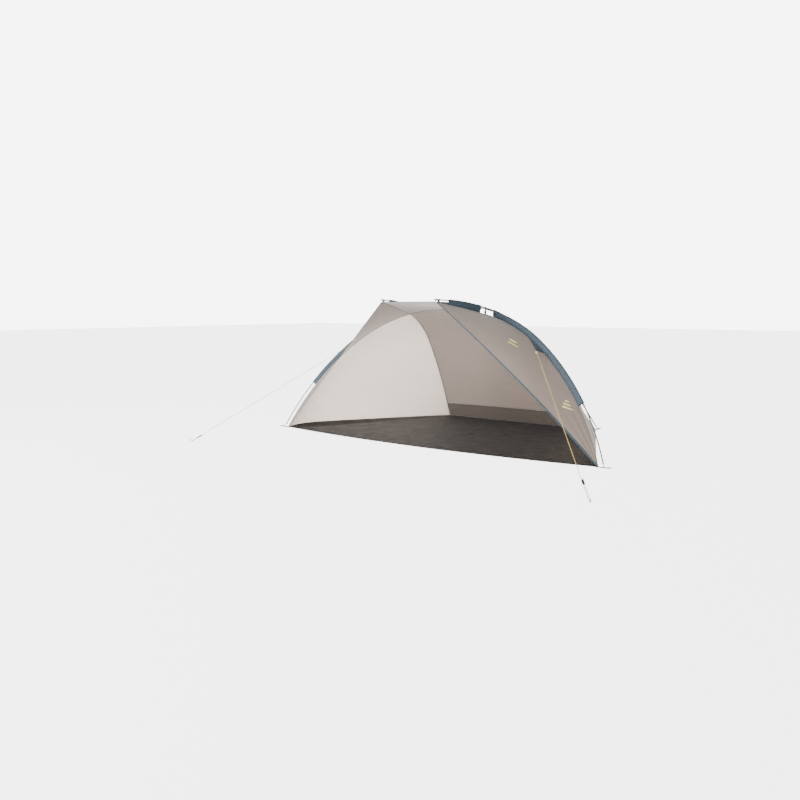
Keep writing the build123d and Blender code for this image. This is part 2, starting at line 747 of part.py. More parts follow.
# ------------------------------------------------------------------ clips and straps at the crossings
clip_path = stretch(side_line, side_junction_along + clip_ahead, side_line.length)
clip_inwards = (clip_path % 0).cross(side_plane.z_dir)
if clip_inwards.Z > 0:
    clip_inwards = -clip_inwards
clip_plane = end_plane(clip_path, clip_inwards)
clip_bore = pole_od / 2 + clip_fit
clip_hook = clip_bore + clip_wall
eye_end = side_standoff - clip_strap
eye_middle = eye_end - clip_eye_height / 2
with BuildPart() as junction_clip:
    with BuildSketch(clip_plane):
        Circle(clip_hook)
        with Locations(((clip_hook + eye_end) / 2, 0)):
            Rectangle(eye_end - clip_hook + clip_wall, clip_neck)
        with Locations((eye_middle, 0)):
            Rectangle(clip_eye_height, clip_eye_width)
        with Locations((-clip_hook * cos(radians(clip_mouth)), clip_hook * sin(radians(clip_mouth)) + clip_horn / 2)):
            Rectangle(clip_wall, clip_horn)
        Circle(clip_bore, mode=Mode.SUBTRACT)
        with Locations((-clip_hook, 0)):
            Rectangle(2 * clip_hook * cos(radians(clip_mouth)), 2 * clip_bore * sin(radians(clip_mouth)), mode=Mode.SUBTRACT)
    extrude(amount=clip_thick / 2, both=True)
    with BuildSketch(clip_plane):
        with Locations((eye_end - clip_bar - clip_slot / 2, 0)):
            Rectangle(clip_slot, strap_width + 1.0)
    extrude(amount=clip_thick, both=True, mode=Mode.SUBTRACT)
save_pair(junction_clip.part, "junction_clip")

strap_plane = Plane(origin=clip_plane.origin, x_dir=clip_plane.x_dir, z_dir=clip_plane.y_dir)
strap_top = eye_end - clip_bar - clip_slot / 2 - strap_cloth / 2
strap_inside = clip_thick + 2 * clip_fit
with BuildPart() as junction_strap:
    with BuildSketch(strap_plane):
        with Locations(((strap_top + side_standoff) / 2, 0)):
            Rectangle(side_standoff - strap_top, strap_inside + 2 * strap_cloth)
        with Locations(((strap_top + strap_cloth + side_standoff) / 2, 0)):
            Rectangle(side_standoff - strap_top - strap_cloth, strap_inside, mode=Mode.SUBTRACT)
        with Locations((side_standoff, 0)):
            Rectangle(strap_cloth, strap_inside + 2 * strap_cloth)
    extrude(amount=strap_width / 2, both=True)
save(
    Compound(children=[junction_strap.part, mirror(junction_strap.part, about=Plane.YZ)]),
    "junction_straps",
)

# ------------------------------------------------------------------ foot pins, corner tabs and corner rings
ball_height = tab_cloth + pin_ball


def foot_pin(line):
    """Pin from its round foot on the webbing up into the end of a pole."""
    axis = line % 0
    drop = ((line @ 0).Z - ball_height) / axis.Z
    foot = (line @ 0) - axis * drop
    with BuildPart() as pin:
        with BuildSketch(Plane(origin=foot, z_dir=axis)):
            Circle(pin_od / 2)
        extrude(amount=drop + pin_insert)
        with Locations(foot):
            Sphere(pin_ball)
    return pin.part, foot


hoop_pin, hoop_ball = foot_pin(hoop_line)
side_pin, side_ball = foot_pin(side_line)
pins = [hoop_pin, side_pin, mirror(hoop_pin, about=Plane.YZ), mirror(side_pin, about=Plane.YZ)]
save(Compound(children=pins), "corner_pins")

fold_inside = ring_wire + ring_fit
fold_outside = fold_inside + fold_cloth
fold_width = ring_width - 2 * ring_corner - 1.0


def corner_tab(corner, ball, outwards):
    """Webbing from the canopy's corner under the pin's foot to a fold that holds the ring."""
    inner = corner + (corner - ball).normalized() * tab_lap
    fold = Vector(ball.X, ball.Y) + outwards * tab_run
    with BuildPart() as tab:
        with BuildSketch():
            with BuildLine() as strip:
                Polyline((inner.X, inner.Y), (ball.X, ball.Y), (fold.X, fold.Y))
            trace(line_width=fold_width)
        extrude(amount=tab_cloth)
        fold_plane = Plane(
            origin=Vector(fold.X, fold.Y, fold_outside), x_dir=outwards, z_dir=outwards.cross(Vector(0, 0, 1))
        )
        with BuildSketch(fold_plane):
            Circle(fold_outside)
        extrude(amount=fold_width / 2, both=True)
        with BuildSketch(fold_plane):
            Circle(fold_inside)
        extrude(amount=fold_width, both=True, mode=Mode.SUBTRACT)
    return tab.part, fold_plane


def corner_ring(fold_plane, outwards):
    """Steel ring that lies flat, with one straight side in the webbing fold."""
    centre = fold_plane.origin + outwards * (ring_depth / 2 - ring_wire)
    with BuildSketch(Plane(origin=centre, x_dir=outwards, z_dir=(0, 0, 1)), mode=Mode.PRIVATE) as loop:
        RectangleRounded(ring_depth - 2 * ring_wire, ring_width - 2 * ring_wire, ring_corner - ring_wire)
    path = loop.sketch.wire()
    with BuildPart() as ring:
        with BuildSketch(end_plane(path)):
            Circle(ring_wire)
        sweep(path=path)
    return ring.part


front_tab, front_fold = corner_tab(front_foot, hoop_ball, Vector(-1, 0, 0))
rear_tab, rear_fold = corner_tab(rear_foot, side_ball, Vector(0, 1, 0))
tabs = [front_tab, rear_tab, mirror(front_tab, about=Plane.YZ), mirror(rear_tab, about=Plane.YZ)]
save(Compound(children=tabs), "corner_tabs")
save_pair(corner_ring(front_fold, Vector(-1, 0, 0)), "front_ring")
save_pair(corner_ring(rear_fold, Vector(0, 1, 0)), "rear_ring")
print("front fold", front_fold.origin, "rear fold", rear_fold.origin)
print("cord bend radii", peg_turn, "at the pegs; straight everywhere else")
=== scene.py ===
"""Beach tarp shelter: sewn canopy, groundsheet, sleeves, tapes and guylines on the CAD frame."""
import json
from cmath import phase, rect
from math import acos, cos, exp, pi, radians, sin, sqrt

import bmesh
import bpy
from bpy.props import FloatProperty, FloatVectorProperty, PointerProperty
from mathutils import Matrix, Vector, noise
from mathutils.bvhtree import BVHTree


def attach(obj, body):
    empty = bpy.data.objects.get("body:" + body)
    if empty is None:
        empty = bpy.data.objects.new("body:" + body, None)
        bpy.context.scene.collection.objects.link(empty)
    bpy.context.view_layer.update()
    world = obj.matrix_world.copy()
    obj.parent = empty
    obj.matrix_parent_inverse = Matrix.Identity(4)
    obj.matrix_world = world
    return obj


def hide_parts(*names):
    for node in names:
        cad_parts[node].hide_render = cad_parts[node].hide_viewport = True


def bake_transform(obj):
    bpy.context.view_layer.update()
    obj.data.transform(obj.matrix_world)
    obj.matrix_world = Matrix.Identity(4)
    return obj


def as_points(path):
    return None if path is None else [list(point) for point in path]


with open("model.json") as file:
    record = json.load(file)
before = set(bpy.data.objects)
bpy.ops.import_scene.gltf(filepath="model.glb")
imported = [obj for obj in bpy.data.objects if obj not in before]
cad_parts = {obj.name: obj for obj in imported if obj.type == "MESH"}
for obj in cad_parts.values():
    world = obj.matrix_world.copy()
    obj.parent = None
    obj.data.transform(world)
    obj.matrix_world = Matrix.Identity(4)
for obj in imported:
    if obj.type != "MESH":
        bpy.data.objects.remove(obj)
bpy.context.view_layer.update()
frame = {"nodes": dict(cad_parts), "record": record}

bl_info = {
    "name": "Beach tarp shelter",
    "version": (1, 0, 0),
    "blender": (4, 5, 0),
    "location": "View3D > Sidebar > Shelter",
    "description": "Builds the cloth, cords and finishes of an open-fronted beach shelter",
    "category": "Object",
}

BODY = "shelter"
UP = Vector((0, 0, 1))
ACROSS = Vector((1, 0, 0))
WHITE = (1.0, 1.0, 1.0, 1.0)
INSIDE = Vector((0, 0, 0.35))       # a point in the cabin, which tells a cloth's inner face
WAVE_PERIOD = 0.314                 # metres between the bands of a wave texture of scale 1
TIP_MERGE = 1e-5                    # closes the row of points that meet at a panel's tip
SEWN_LAYERS = 2                     # cloth layers in a gusset or a strip
BINDING_INSET = 0.0022              # inside bindings lie this far under their seam
BINDING_HALF, BINDING_THICK = 0.0036, 0.0012
BROW_HALF, BROW_THICK = 0.0045, 0.0015
TAPE_THICK = 0.0016
SLEEVE_STEP = 0.006                 # rows of a sleeve's mesh along the pole
SLEEVE_COLUMNS = 26
SLEEVE_SWELL = 0.0016               # a sleeve's flanks bulge this much
SLEEVE_GAP = 0.0009                 # and stand this far apart at the seam
HEM_FLARE = 0.06                    # a sleeve's end hem is wider by this share
HEM_START, HEM_END = 0.011, 0.014
GATHER_DEPTH, GATHER_LENGTH = 0.0007, 0.022
WAVE_DEPTH, WAVE_LENGTH = 0.0010, 0.11
STRIP_HEIGHT, STRIP_DECLARED = 0.019, 0.016
STRIP_START = 0.02                  # share of the brow seam left free at the roof's corner
GUSSET_WIDTH, GUSSET_DEPTH = 0.19, 0.10
GUSSET_TUCK, GUSSET_FAN = 0.010, 0.0012
MARK_LIFT, MARK_THICK = 0.0006, 0.0003
UPPER_MARK, UPPER_TILT = Vector((0.643, -0.557, 0.7505)), 0.2
LOWER_MARK, LOWER_TILT = Vector((1.072, -0.594, 0.3635)), 0.1
UPPER_BARS = ((0.026, 0.120, 0.017), (-0.008, 0.175, 0.011))    # lift, width and height of each bar
LOWER_BARS = ((0.030, 0.070, 0.013), (0.006, 0.110, 0.013), (-0.018, 0.150, 0.013))
CAMERA_OFFSET = Vector((3.348, -4.557, 0.979))      # from the middle of the front line
CAMERA_PITCH, CAMERA_YAW = 83.33, 37.83             # degrees
WORLD_LIGHT, BACKDROP = 0.65, 7.0                   # strength on the object and to the camera
FLOOR_GLOW, FLOOR_GLOW_SHARE = 6.0, 0.75
FLOOR_HALF, FLOOR_DROP = 30.0, 0.0015


# ---------------------------------------------------------------- sizes and colours
def length(name, text, default):
    """Property for a length in metres."""
    return FloatProperty(name=name, description=text, default=default, min=0, precision=4, unit="LENGTH")


def angle(name, text, default):
    """Property for an angle, given in degrees."""
    return FloatProperty(name=name, description=text, default=radians(default), unit="ROTATION")


def tint(name, text, default):
    """Property for a scene-linear colour."""
    return FloatVectorProperty(
        name=name, description=text, default=default, size=3, min=0, max=1, subtype="COLOR"
    )


class ShelterSizes(bpy.types.PropertyGroup):
    """Sizes of the shelter, the same as the CAD model's."""

    foot_half_span: length("Foot half span", "Centre plane to each front foot", 1.350)
    front_line: FloatProperty(
        name="Front line", description="Y of the front feet", default=-0.6565, unit="LENGTH"
    )
    crown_height: length("Crown height", "Crown of the hoop seam, up the leaning plane", 1.013)
    hoop_rake: angle("Hoop rake", "Lean of the hoop plane", 19.0)
    crown_radius: length("Crown radius", "Hoop seam over the roof", 2.200)
    crown_turn: angle("Crown turn", "Half of the turn over the roof", 3.0)
    shoulder_radius: length("Shoulder radius", "Hoop seam over each shoulder", 1.185)
    shoulder_turn: angle("Shoulder turn", "Turn over each shoulder", 35.0)
    junction_half: length("Junction half", "Centre plane to each pole crossing", 0.340)
    brow_half: length("Brow half", "Centre plane to each front roof corner", 0.233)
    brow_forward: length("Brow forward", "Roof's front edge ahead of the feet", 0.153)
    brow_height: length("Brow height", "Height of the roof's front edge", 1.011)
    brow_bow: length("Brow bow", "Curve of the roof's front edge", 0.010)
    rear_half_span: length("Rear half span", "Centre plane to each rear corner", 0.703)
    shelter_depth: length("Depth", "Front feet to rear corners", 1.400)
    junction_heading: angle("Junction heading", "Climb of the rear side seam at the crossing", 15.5)
    brow_seam_bow: length("Brow seam bow", "Bow of the seam ahead of a crossing", 0.002)
    rear_shoulder_radius: length("Rear shoulder radius", "Side seam behind the crossing", 1.180)
    rear_shoulder_turn: angle("Rear shoulder turn", "Turn of the side seam behind the crossing", 25.0)
    front_edge_out: length("Front edge out", "Outward bow of each front edge", 0.023)
    front_edge_back: length("Front edge back", "Backward bow of each front edge", 0.023)
    mud_wall_height: length("Mud wall height", "Dark strip at the foot of the back", 0.130)
    side_lift: length("Side lift", "Groundsheet turned up along each side wall", 0.034)
    sill_bow: length("Sill bow", "Groundsheet's front edge curves forwards", 0.110)
    hoop_standoff: length("Hoop standoff", "Hoop pole's line outside its seam", 0.034)
    side_standoff: length("Side standoff", "Side pole's line outside its seam at the crossing", 0.0449)
    pole_heading: angle("Pole heading", "Climb of the side pole at the crossing", 13.0)
    pole_shoulder_radius: length("Pole shoulder radius", "Side pole behind the crossing", 1.150)
    pole_shoulder_turn: angle("Pole shoulder turn", "Turn of the side pole behind the crossing", 28.0)
    rear_pin_out: length("Rear pin out", "Side pole's lower end outside the rear corner", 0.014)
    pole_end_height: length("Pole end height", "Lower pole ends above the ground", 0.018)
    tip_ahead: length("Tip ahead", "Side pole's tip in front of the roof's front corner", 0.004)
    tip_rise: length("Tip rise", "Side pole's tip above the roof's front corner", 0.013)
    sleeve_radius: length("Sleeve radius", "Sleeve's outside over the pole", 0.0078)
    sleeve_end_height: length("Sleeve end height", "Bare pole below this height", 0.370)
    junction_bare: length("Junction bare", "Bare pole each side of a crossing", 0.070)
    brow_bare: length("Brow bare", "Bare pole behind the roof's front corner", 0.125)
    gusset_top: length("Gusset top", "Centre plane to the gusset's upper end", 0.690)
    gusset_bottom: length("Gusset bottom", "Centre plane to the gusset's lower end", 0.850)
    gusset_drop: length("Gusset drop", "Seam to the gusset's free corner", 0.090)
    guy_ring_radius: length("Guy ring radius", "Radius of the guy ring's line", 0.009)
    guy_ring_wire: length("Guy ring wire", "Radius of the guy ring's wire", 0.0017)
    cord_diameter: length("Cord diameter", "Guyline cord", 0.0035)
    peg_loop_height: length("Peg loop height", "Cord's height round the peg", 0.007)
    strand_gap: length("Strand gap", "Between the two strands at the peg", 0.008)
    left_slider_reach: length("Left slider reach", "Left slider above its peg", 0.062)
    right_slider_reach: length("Right slider reach", "Right slider above its peg", 0.155)
    slider_length: length("Slider length", "Length of each slider", 0.034)
    tail_reach: length("Tail reach", "Cord's end past the slider", 0.007)
    tape_width: length("Tape width", "Bound front edge", 0.013)
    cloth_thickness: length("Cloth thickness", "Coated cloth with its coating", 0.0008)


class ShelterColours(bpy.types.PropertyGroup):
    """Colours of the shelter's finishes."""

    taupe: tint("Taupe", "Roof, wings and back", (0.250, 0.198, 0.168))
    cream: tint("Cream", "Side walls", (0.860, 0.740, 0.640))
    blue: tint("Blue", "Pole sleeves and gussets", (0.028, 0.048, 0.066))
    tape: tint("Tape", "Bound edges", (0.045, 0.072, 0.095))
    mud: tint("Mud wall", "Strip at the foot of the back", (0.085, 0.068, 0.057))
    ground: tint("Ground", "Groundsheet", (0.013, 0.0115, 0.010))
    binding: tint("Binding", "Inside seam binding", (0.080, 0.070, 0.062))
    cord: tint("Cord", "Guylines", (0.560, 0.390, 0.110))
    mark: tint("Mark", "Printed marks", (0.800, 0.620, 0.250))
    webbing: tint("Webbing", "Corner tabs and straps", (0.040, 0.040, 0.034))
    pole: tint("Pole", "Fibreglass tube", (0.075, 0.078, 0.076))
    steel: tint("Steel", "Ferrules, pins and pegs", (0.640, 0.640, 0.620))
    ring: tint("Ring", "Corner rings", (0.130, 0.125, 0.100))
    tip: tint("Tip", "Pole tip caps", (0.300, 0.290, 0.200))
    clip: tint("Clip", "Hook clips and sliders", (0.012, 0.012, 0.012))
    guy_ring: tint("Guy ring", "Ring of each guyline", (0.860, 0.860, 0.840))
    floor: tint("Floor", "Plain studio floor", (0.860, 0.860, 0.855))


# ---------------------------------------------------------------- curves of the shelter
class ArcRun:
    """Run of tangent arcs in a plane that all bend to the right; distances along it are in metres."""

    def __init__(self, origin, x_axis, y_axis, heading, arcs, start=0j):
        self.origin, self.x_axis, self.y_axis = origin, x_axis, y_axis
        self.across = x_axis.cross(y_axis)
        self.pieces = []
        self.length = 0.0
        for radius, turn in arcs:
            centre = start + rect(radius, heading - pi / 2)
            self.pieces.append((self.length, centre, radius, heading))
            self.length += radius * turn
            start, heading = arc_end(start, heading, radius, turn)

    def flat(self, along):
        """Point and heading in the plane."""
        begun = [piece for piece in self.pieces if piece[0] <= max(along, 0.0)]
        from_along, centre, radius, heading = begun[-1]
        heading -= (along - from_along) / radius
        return centre + rect(radius, heading + pi / 2), heading

    def spot(self, point):
        """A plane point in space."""
        return self.origin + self.x_axis * point.real + self.y_axis * point.imag

    def at(self, along):
        return self.spot(self.flat(along)[0])

    def ahead(self, along, turn=0.0):
        """Unit vector along the run, turned in its plane if an angle is given."""
        way = rect(1, self.flat(along)[1] + turn)
        return self.x_axis * way.real + self.y_axis * way.imag

    def outward(self, along):
        """Unit vector away from the bend's inside."""
        return self.ahead(along, pi / 2)

    def part(self, start, end):
        """The stretch between two distances, as a function of a share of it."""
        return lambda share: self.at(start + (end - start) * share)

    def where(self, measure, start, end):
        """Distance at which a growing measure of the point passes zero."""
        for _ in range(40):
            middle = (start + end) / 2
            start, end = (middle, end) if measure(middle) < 0 else (start, middle)
        return start


def arc_end(point, heading, radius, turn):
    """End of an arc that turns clockwise, and its heading there."""
    centre = point + rect(radius, heading - pi / 2)
    return centre + rect(radius, heading - turn + pi / 2), heading - turn


def closing_arc(point, heading, target):
    """Radius and turn of the clockwise arc that leaves along a heading and ends at a target."""
    chord = target - point
    half_turn = heading - phase(chord)
    return abs(chord) / (2 * sin(half_turn)), 2 * half_turn


def bowed(start, end, bow):
    """Line between two points with a bow added at its middle."""
    return lambda share: start.lerp(end, share) + bow * (4 * share * (1 - share))


def mirrored(point):
    """The same point on the other side."""
    return Vector((-point.x, point.y, point.z))


class Shelter:
    """Corners, seams and cloth surfaces, all of the left side."""

    def __init__(self, sizes):
        self.sizes = sizes
        s = sizes
        self.foot = Vector((-s.foot_half_span, s.front_line, 0))
        self.rear_foot = Vector((-s.rear_half_span, s.front_line + s.shelter_depth, 0))
        self.brow = Vector((-s.brow_half, s.front_line - s.brow_forward, s.brow_height))
        self.make_hoop(s)
        self.make_side(s)
        bow = Vector((-s.front_edge_out, s.front_edge_back, 0))
        self.front_edge = bowed(self.foot, self.brow, bow)
        self.brow_edge = bowed(self.brow, mirrored(self.brow), Vector((0, s.brow_bow, 0)))
        self.rear_edge = bowed(self.rear_foot, mirrored(self.rear_foot), Vector((0, 0, 0)))

    def make_hoop(self, s):
        crown_point, heading = arc_end(1j * s.crown_height, 0, s.crown_radius, s.crown_turn)
        shoulder_point, heading = arc_end(crown_point, heading, s.shoulder_radius, s.shoulder_turn)
        leg = closing_arc(shoulder_point, heading, complex(s.foot_half_span, 0))
        shoulder = (s.shoulder_radius, s.shoulder_turn)
        self.hoop = ArcRun(
            Vector((0, s.front_line, 0)),
            Vector((1, 0, 0)),
            Vector((0, sin(s.hoop_rake), cos(s.hoop_rake))),
            s.crown_turn + s.shoulder_turn + leg[1],
            [leg, shoulder, (s.crown_radius, 2 * s.crown_turn), shoulder, leg],
            complex(-s.foot_half_span, 0),
        )
        self.crossing = self.hoop_seam_at(s.junction_half)
        self.junction = self.hoop.at(self.crossing)
        self.leg_seam = self.hoop.part(0, self.crossing)
        self.crown_seam = self.hoop.part(self.crossing, self.hoop.length - self.crossing)

    def make_side(self, s):
        normal = (self.brow - self.rear_foot).cross(self.junction - self.rear_foot).normalized()
        forward = UP.cross(normal).normalized()
        forward = -forward if forward.y > 0 else forward
        rise = (UP - normal * normal.z).normalized()
        crossing = self.in_plane(self.junction, forward, rise)
        brow = self.in_plane(self.brow, forward, rise)
        shoulder = (s.rear_shoulder_radius, s.rear_shoulder_turn)
        end, heading = arc_end(complex(-crossing.real, crossing.imag), -s.junction_heading, *shoulder)
        leg = closing_arc(end, heading, 0j)
        start_heading = s.junction_heading + s.rear_shoulder_turn + leg[1]
        self.side = ArcRun(self.rear_foot, forward, rise, start_heading, [leg, shoulder])
        self.rear_seam = self.side.part(self.side.length, 0)
        chord = brow - crossing
        bow = chord / abs(chord) * 1j * s.brow_seam_bow
        self.brow_seam = bowed(self.brow, self.junction, forward * bow.real + rise * bow.imag)
        self.make_side_pole(s, forward, rise, crossing, brow)

    def make_side_pole(self, s, forward, rise, crossing, brow):
        """The side pole's line: farthest from the cloth at the crossing, close to it at both ends."""
        over = crossing + rect(s.side_standoff, s.pole_heading + pi / 2)
        shoulder = (s.pole_shoulder_radius, s.pole_shoulder_turn)
        end, heading = arc_end(complex(-over.real, over.imag), -s.pole_heading, *shoulder)
        foot = complex(-s.rear_pin_out, s.pole_end_height / rise.z)
        leg = closing_arc(end, heading, complex(-foot.real, foot.imag))
        ahead = closing_arc(over, s.pole_heading, brow + complex(s.tip_ahead, s.tip_rise))
        start_heading = s.pole_heading + s.pole_shoulder_turn + leg[1]
        self.side_pole = ArcRun(self.rear_foot, forward, rise, start_heading, [leg, shoulder, ahead], foot)
        self.pole_crossing = leg[0] * leg[1] + shoulder[0] * shoulder[1]

    def side_line(self, place):
        """Side seam: place 0 is the rear corner, 1 the crossing and 2 the roof's corner."""
        return self.side.at(self.side.length * place) if place < 1 else self.brow_seam(2 - place)

    def side_station(self, along):
        """Seam point square to the side pole at a distance along it, with the way to the pole and the gap."""
        pole, ahead = self.side_pole.at(along), self.side_pole.ahead(along)
        behind = lambda place: (self.side_line(place) - pole).dot(ahead)
        seam = self.side_line(self.side.where(behind, 0.0, 2.0))
        return seam, (pole - seam).normalized(), (pole - seam).length

    def hoop_station(self, along):
        """The same for the hoop pole, at a distance along its seam."""
        return self.hoop.at(along), self.hoop.outward(along), self.sizes.hoop_standoff

    def in_plane(self, point, forward, rise):
        offset = point - self.rear_foot
        return complex(offset.dot(forward), offset.dot(rise))

    def hoop_seam_at(self, reach):
        """Distance along the hoop seam at which it is this far left of the centre plane."""
        return self.hoop.where(lambda along: self.hoop.at(along).x + reach, 0, self.hoop.length / 2)

    def ground_edge(self, share):
        """Foot of the side wall, where the groundsheet is turned up to meet it."""
        lift = self.sizes.side_lift * (1 - exp(-share / 0.06)) * (1 - share) ** 0.8
        inwards = Vector((lift * 0.35, -lift * 0.1, lift))
        return self.foot.lerp(self.rear_foot, share) + inwards


def ruled(first, second, side, other=None):
    """Surface between two seams, bulged with the seams that join their ends."""

    def bulge(seam, share):
        return seam(share) - seam(0).lerp(seam(1), share)

    def surface(row, column):
        point = first(row).lerp(second(row), column) + bulge(side, column) * row
        if other is not None:
            point += bulge(other, column) * (1 - row)
        return point

    return surface


# ---------------------------------------------------------------- cloth meshes
def smooth_step(value, low, high):
    share = min(max((value - low) / (high - low), 0.0), 1.0)
    return share * share * (3 - 2 * share)


def unevenness(u, v, seed, size):
    """Smooth noise from -1 to 1 with features about as large as size."""
    return noise.noise(Vector((u / size, v / size, seed)))


def strain_creases(point, corners, seed):
    """Shallow creases that fan out from the corners that pull on the cloth."""
    height = 0.0
    for corner, reach, depth, count in corners:
        offset = point - corner
        distance = offset.length
        if distance > 3 * reach or distance < 1e-4:
            continue
        way = offset / distance
        fan = noise.noise(way * count + Vector((seed, seed * 2, 0)))
        height += depth * fan * exp(-distance / reach) * smooth_step(distance, 0.0, 0.08)
    return height


class ClothSheet:
    """Cloth laid on a surface: a grid with metric UVs, its distance from the sewn edges and its relief."""

    def __init__(self, name, surface, rows, columns, inside, mirror=False):
        self.name = name
        self.mesh = bmesh.new()
        bmesh.ops.create_grid(self.mesh, x_segments=rows, y_segments=columns, size=0.5)
        self.shares = {v.index: (v.co.x + 0.5, v.co.y + 0.5) for v in self.mesh.verts}
        self.mesh.verts.ensure_lookup_table()
        for vert in self.mesh.verts:
            vert.co = surface(*self.shares[vert.index])
        if mirror:
            bmesh.ops.scale(self.mesh, verts=self.mesh.verts, vec=(-1, 1, 1))
        self.mesh.normal_update()
        if inside is not None:
            facing = sum(
                face.normal.dot(face.calc_center_median() - inside) * face.calc_area()
                for face in self.mesh.faces
            )
            self.turn_over(facing < 0)

    def turn_over(self, wrong):
        """Reverse the faces if they point the wrong way."""
        if wrong:
            bmesh.ops.reverse_faces(self.mesh, faces=self.mesh.faces)
            self.mesh.normal_update()

    def flatten_uv(self, warp, weft):
        """Metric UVs on two directions that lie in the cloth."""
        layer = self.mesh.loops.layers.uv.new("UVMap")
        for face in self.mesh.faces:
            for loop in face.loops:
                loop[layer].uv = (loop.vert.co.dot(warp), loop.vert.co.dot(weft))

    def share_uv(self, width, depth):
        """Metric UVs that follow the two directions of the grid."""
        layer = self.mesh.loops.layers.uv.new("UVMap")
        for face in self.mesh.faces:
            for loop in face.loops:
                row, column = self.shares[loop.vert.index]
                loop[layer].uv = (row * width, column * depth)

    def mark_edges(self, distance):
        """Distance from the nearest sewn edge, for the stitch rows and a darker band along each edge."""
        layer = self.mesh.verts.layers.float.new("edge")
        for vert in self.mesh.verts:
            vert[layer] = distance(*self.shares[vert.index])

    def relieve(self, relief):
        """Move each point along its normal."""
        normals = [vert.normal.copy() for vert in self.mesh.verts]
        for vert, normal in zip(self.mesh.verts, normals):
            row, column = self.shares[vert.index]
            vert.co += normal * relief(row, column, vert.co)
        self.mesh.normal_update()

    def finish(self, material, thickness, merge=0.0):
        if merge:
            bmesh.ops.remove_doubles(self.mesh, verts=self.mesh.verts, dist=merge)
        bmesh.ops.dissolve_degenerate(self.mesh, edges=self.mesh.edges, dist=1e-6)
        return finish_piece(self.name, self.mesh, material, thickness)


def finish_piece(name, mesh, material, thickness=None):
    """Object made from a mesh, smooth shaded and riding on the shelter."""
    data = bpy.data.meshes.new(name)
    mesh.normal_update()
    mesh.to_mesh(data)
    mesh.free()
    data.shade_smooth()
    data.materials.append(material)
    piece = bpy.data.objects.new(name, data)
    bpy.context.scene.collection.objects.link(piece)
    if thickness:
        wall = piece.modifiers.new("Cloth", "SOLIDIFY")
        wall.thickness = thickness
        wall.offset = 0
        wall.use_even_offset = False
    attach(piece, BODY)
    return piece


def stand_in(replaced):
    """Hide the CAD node that a cloth piece replaces."""
    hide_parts(replaced)


def banded_tube(name, line, across, half_width, half_thickness, steps, material, sides=14):
    """Flat oval band that follows a line, closed at both ends."""
    mesh = bmesh.new()
    bmesh.ops.create_grid(mesh, x_segments=steps, y_segments=sides, size=0.5)
    layer = mesh.loops.layers.uv.new("UVMap")
    run = sum((line((i + 1) / steps) - line(i / steps)).length for i in range(steps))
    for face in mesh.faces:
        for loop in face.loops:
            loop[layer].uv = ((loop.vert.co.x + 0.5) * run, (loop.vert.co.y + 0.5) * 4 * half_width)
    for vert in mesh.verts:
        share, turn = vert.co.x + 0.5, (vert.co.y + 0.5) * 2 * pi
        tangent = (line(min(share + 0.004, 1)) - line(max(share - 0.004, 0))).normalized()
        side = across(share)
        side = (side - tangent * side.dot(tangent)).normalized()
        rise = tangent.cross(side)
        vert.co = line(share) + side * (half_width * cos(turn)) + rise * (half_thickness * sin(turn))
    bmesh.ops.remove_doubles(mesh, verts=mesh.verts, dist=1e-6)
    ends = [edge for edge in mesh.edges if edge.is_boundary]
    bmesh.ops.holes_fill(mesh, edges=ends)
    bmesh.ops.recalc_face_normals(mesh, faces=mesh.faces)
    return finish_piece(name, mesh, material)


# ---------------------------------------------------------------- node groups and materials
def new_group(name, inputs, outputs):
    """Empty shader node group with named sockets."""
    group = bpy.data.node_groups.new(name, "ShaderNodeTree")
    for label, kind, value in inputs:
        socket = group.interface.new_socket(name=label, in_out="INPUT", socket_type=kind)
        if value is not None:
            socket.default_value = value
    for label, kind in outputs:
        group.interface.new_socket(name=label, in_out="OUTPUT", socket_type=kind)
    return group, group.nodes.new("NodeGroupInput"), group.nodes.new("NodeGroupOutput")


def node(tree, kind, **settings):
    """Node with its settings, and values for inputs given by name in a dictionary called values."""
    made = tree.nodes.new(kind)
    for label, value in settings.pop("values", {}).items():
        made.inputs[label].default_value = value
    for label, value in settings.items():
        setattr(made, label, value)
    return made


def maths(tree, operation, first, second=None, clamp=False):
    """Math node fed by sockets or numbers; returns its output."""
    made = tree.nodes.new("ShaderNodeMath")
    made.operation = operation
    made.use_clamp = clamp
    for index, value in enumerate((first, second)):
        if value is None:
            continue
        if isinstance(value, (int, float)):
            made.inputs[index].default_value = value
        else:
            tree.links.new(value, made.inputs[index])
    return made.outputs[0]


def make_weave_group():
    """Plain weave of crossing threads: height and a thread mask."""
    group, given, result = new_group(
        "Plain weave",
        [("Vector", "NodeSocketVector", None), ("Threads per metre", "NodeSocketFloat", 900.0)],
        [("Height", "NodeSocketFloat"), ("Mask", "NodeSocketFloat")],
    )
    waves = []
    for direction in ("X", "Y"):
        wave = node(
            group, "ShaderNodeTexWave", wave_type="BANDS", bands_direction=direction, wave_profile="SIN",
            values={"Distortion": 0.6, "Detail": 1.0, "Detail Scale": 0.3},
        )
        group.links.new(given.outputs["Vector"], wave.inputs["Vector"])
        scale = maths(group, "MULTIPLY", given.outputs["Threads per metre"], WAVE_PERIOD)
        group.links.new(scale, wave.inputs["Scale"])
        waves.append(wave.outputs["Fac"])
    height = maths(group, "MAXIMUM", waves[0], waves[1])
    mask = maths(group, "MULTIPLY", waves[0], waves[1])
    group.links.new(height, result.inputs["Height"])
    group.links.new(mask, result.inputs["Mask"])
    return group


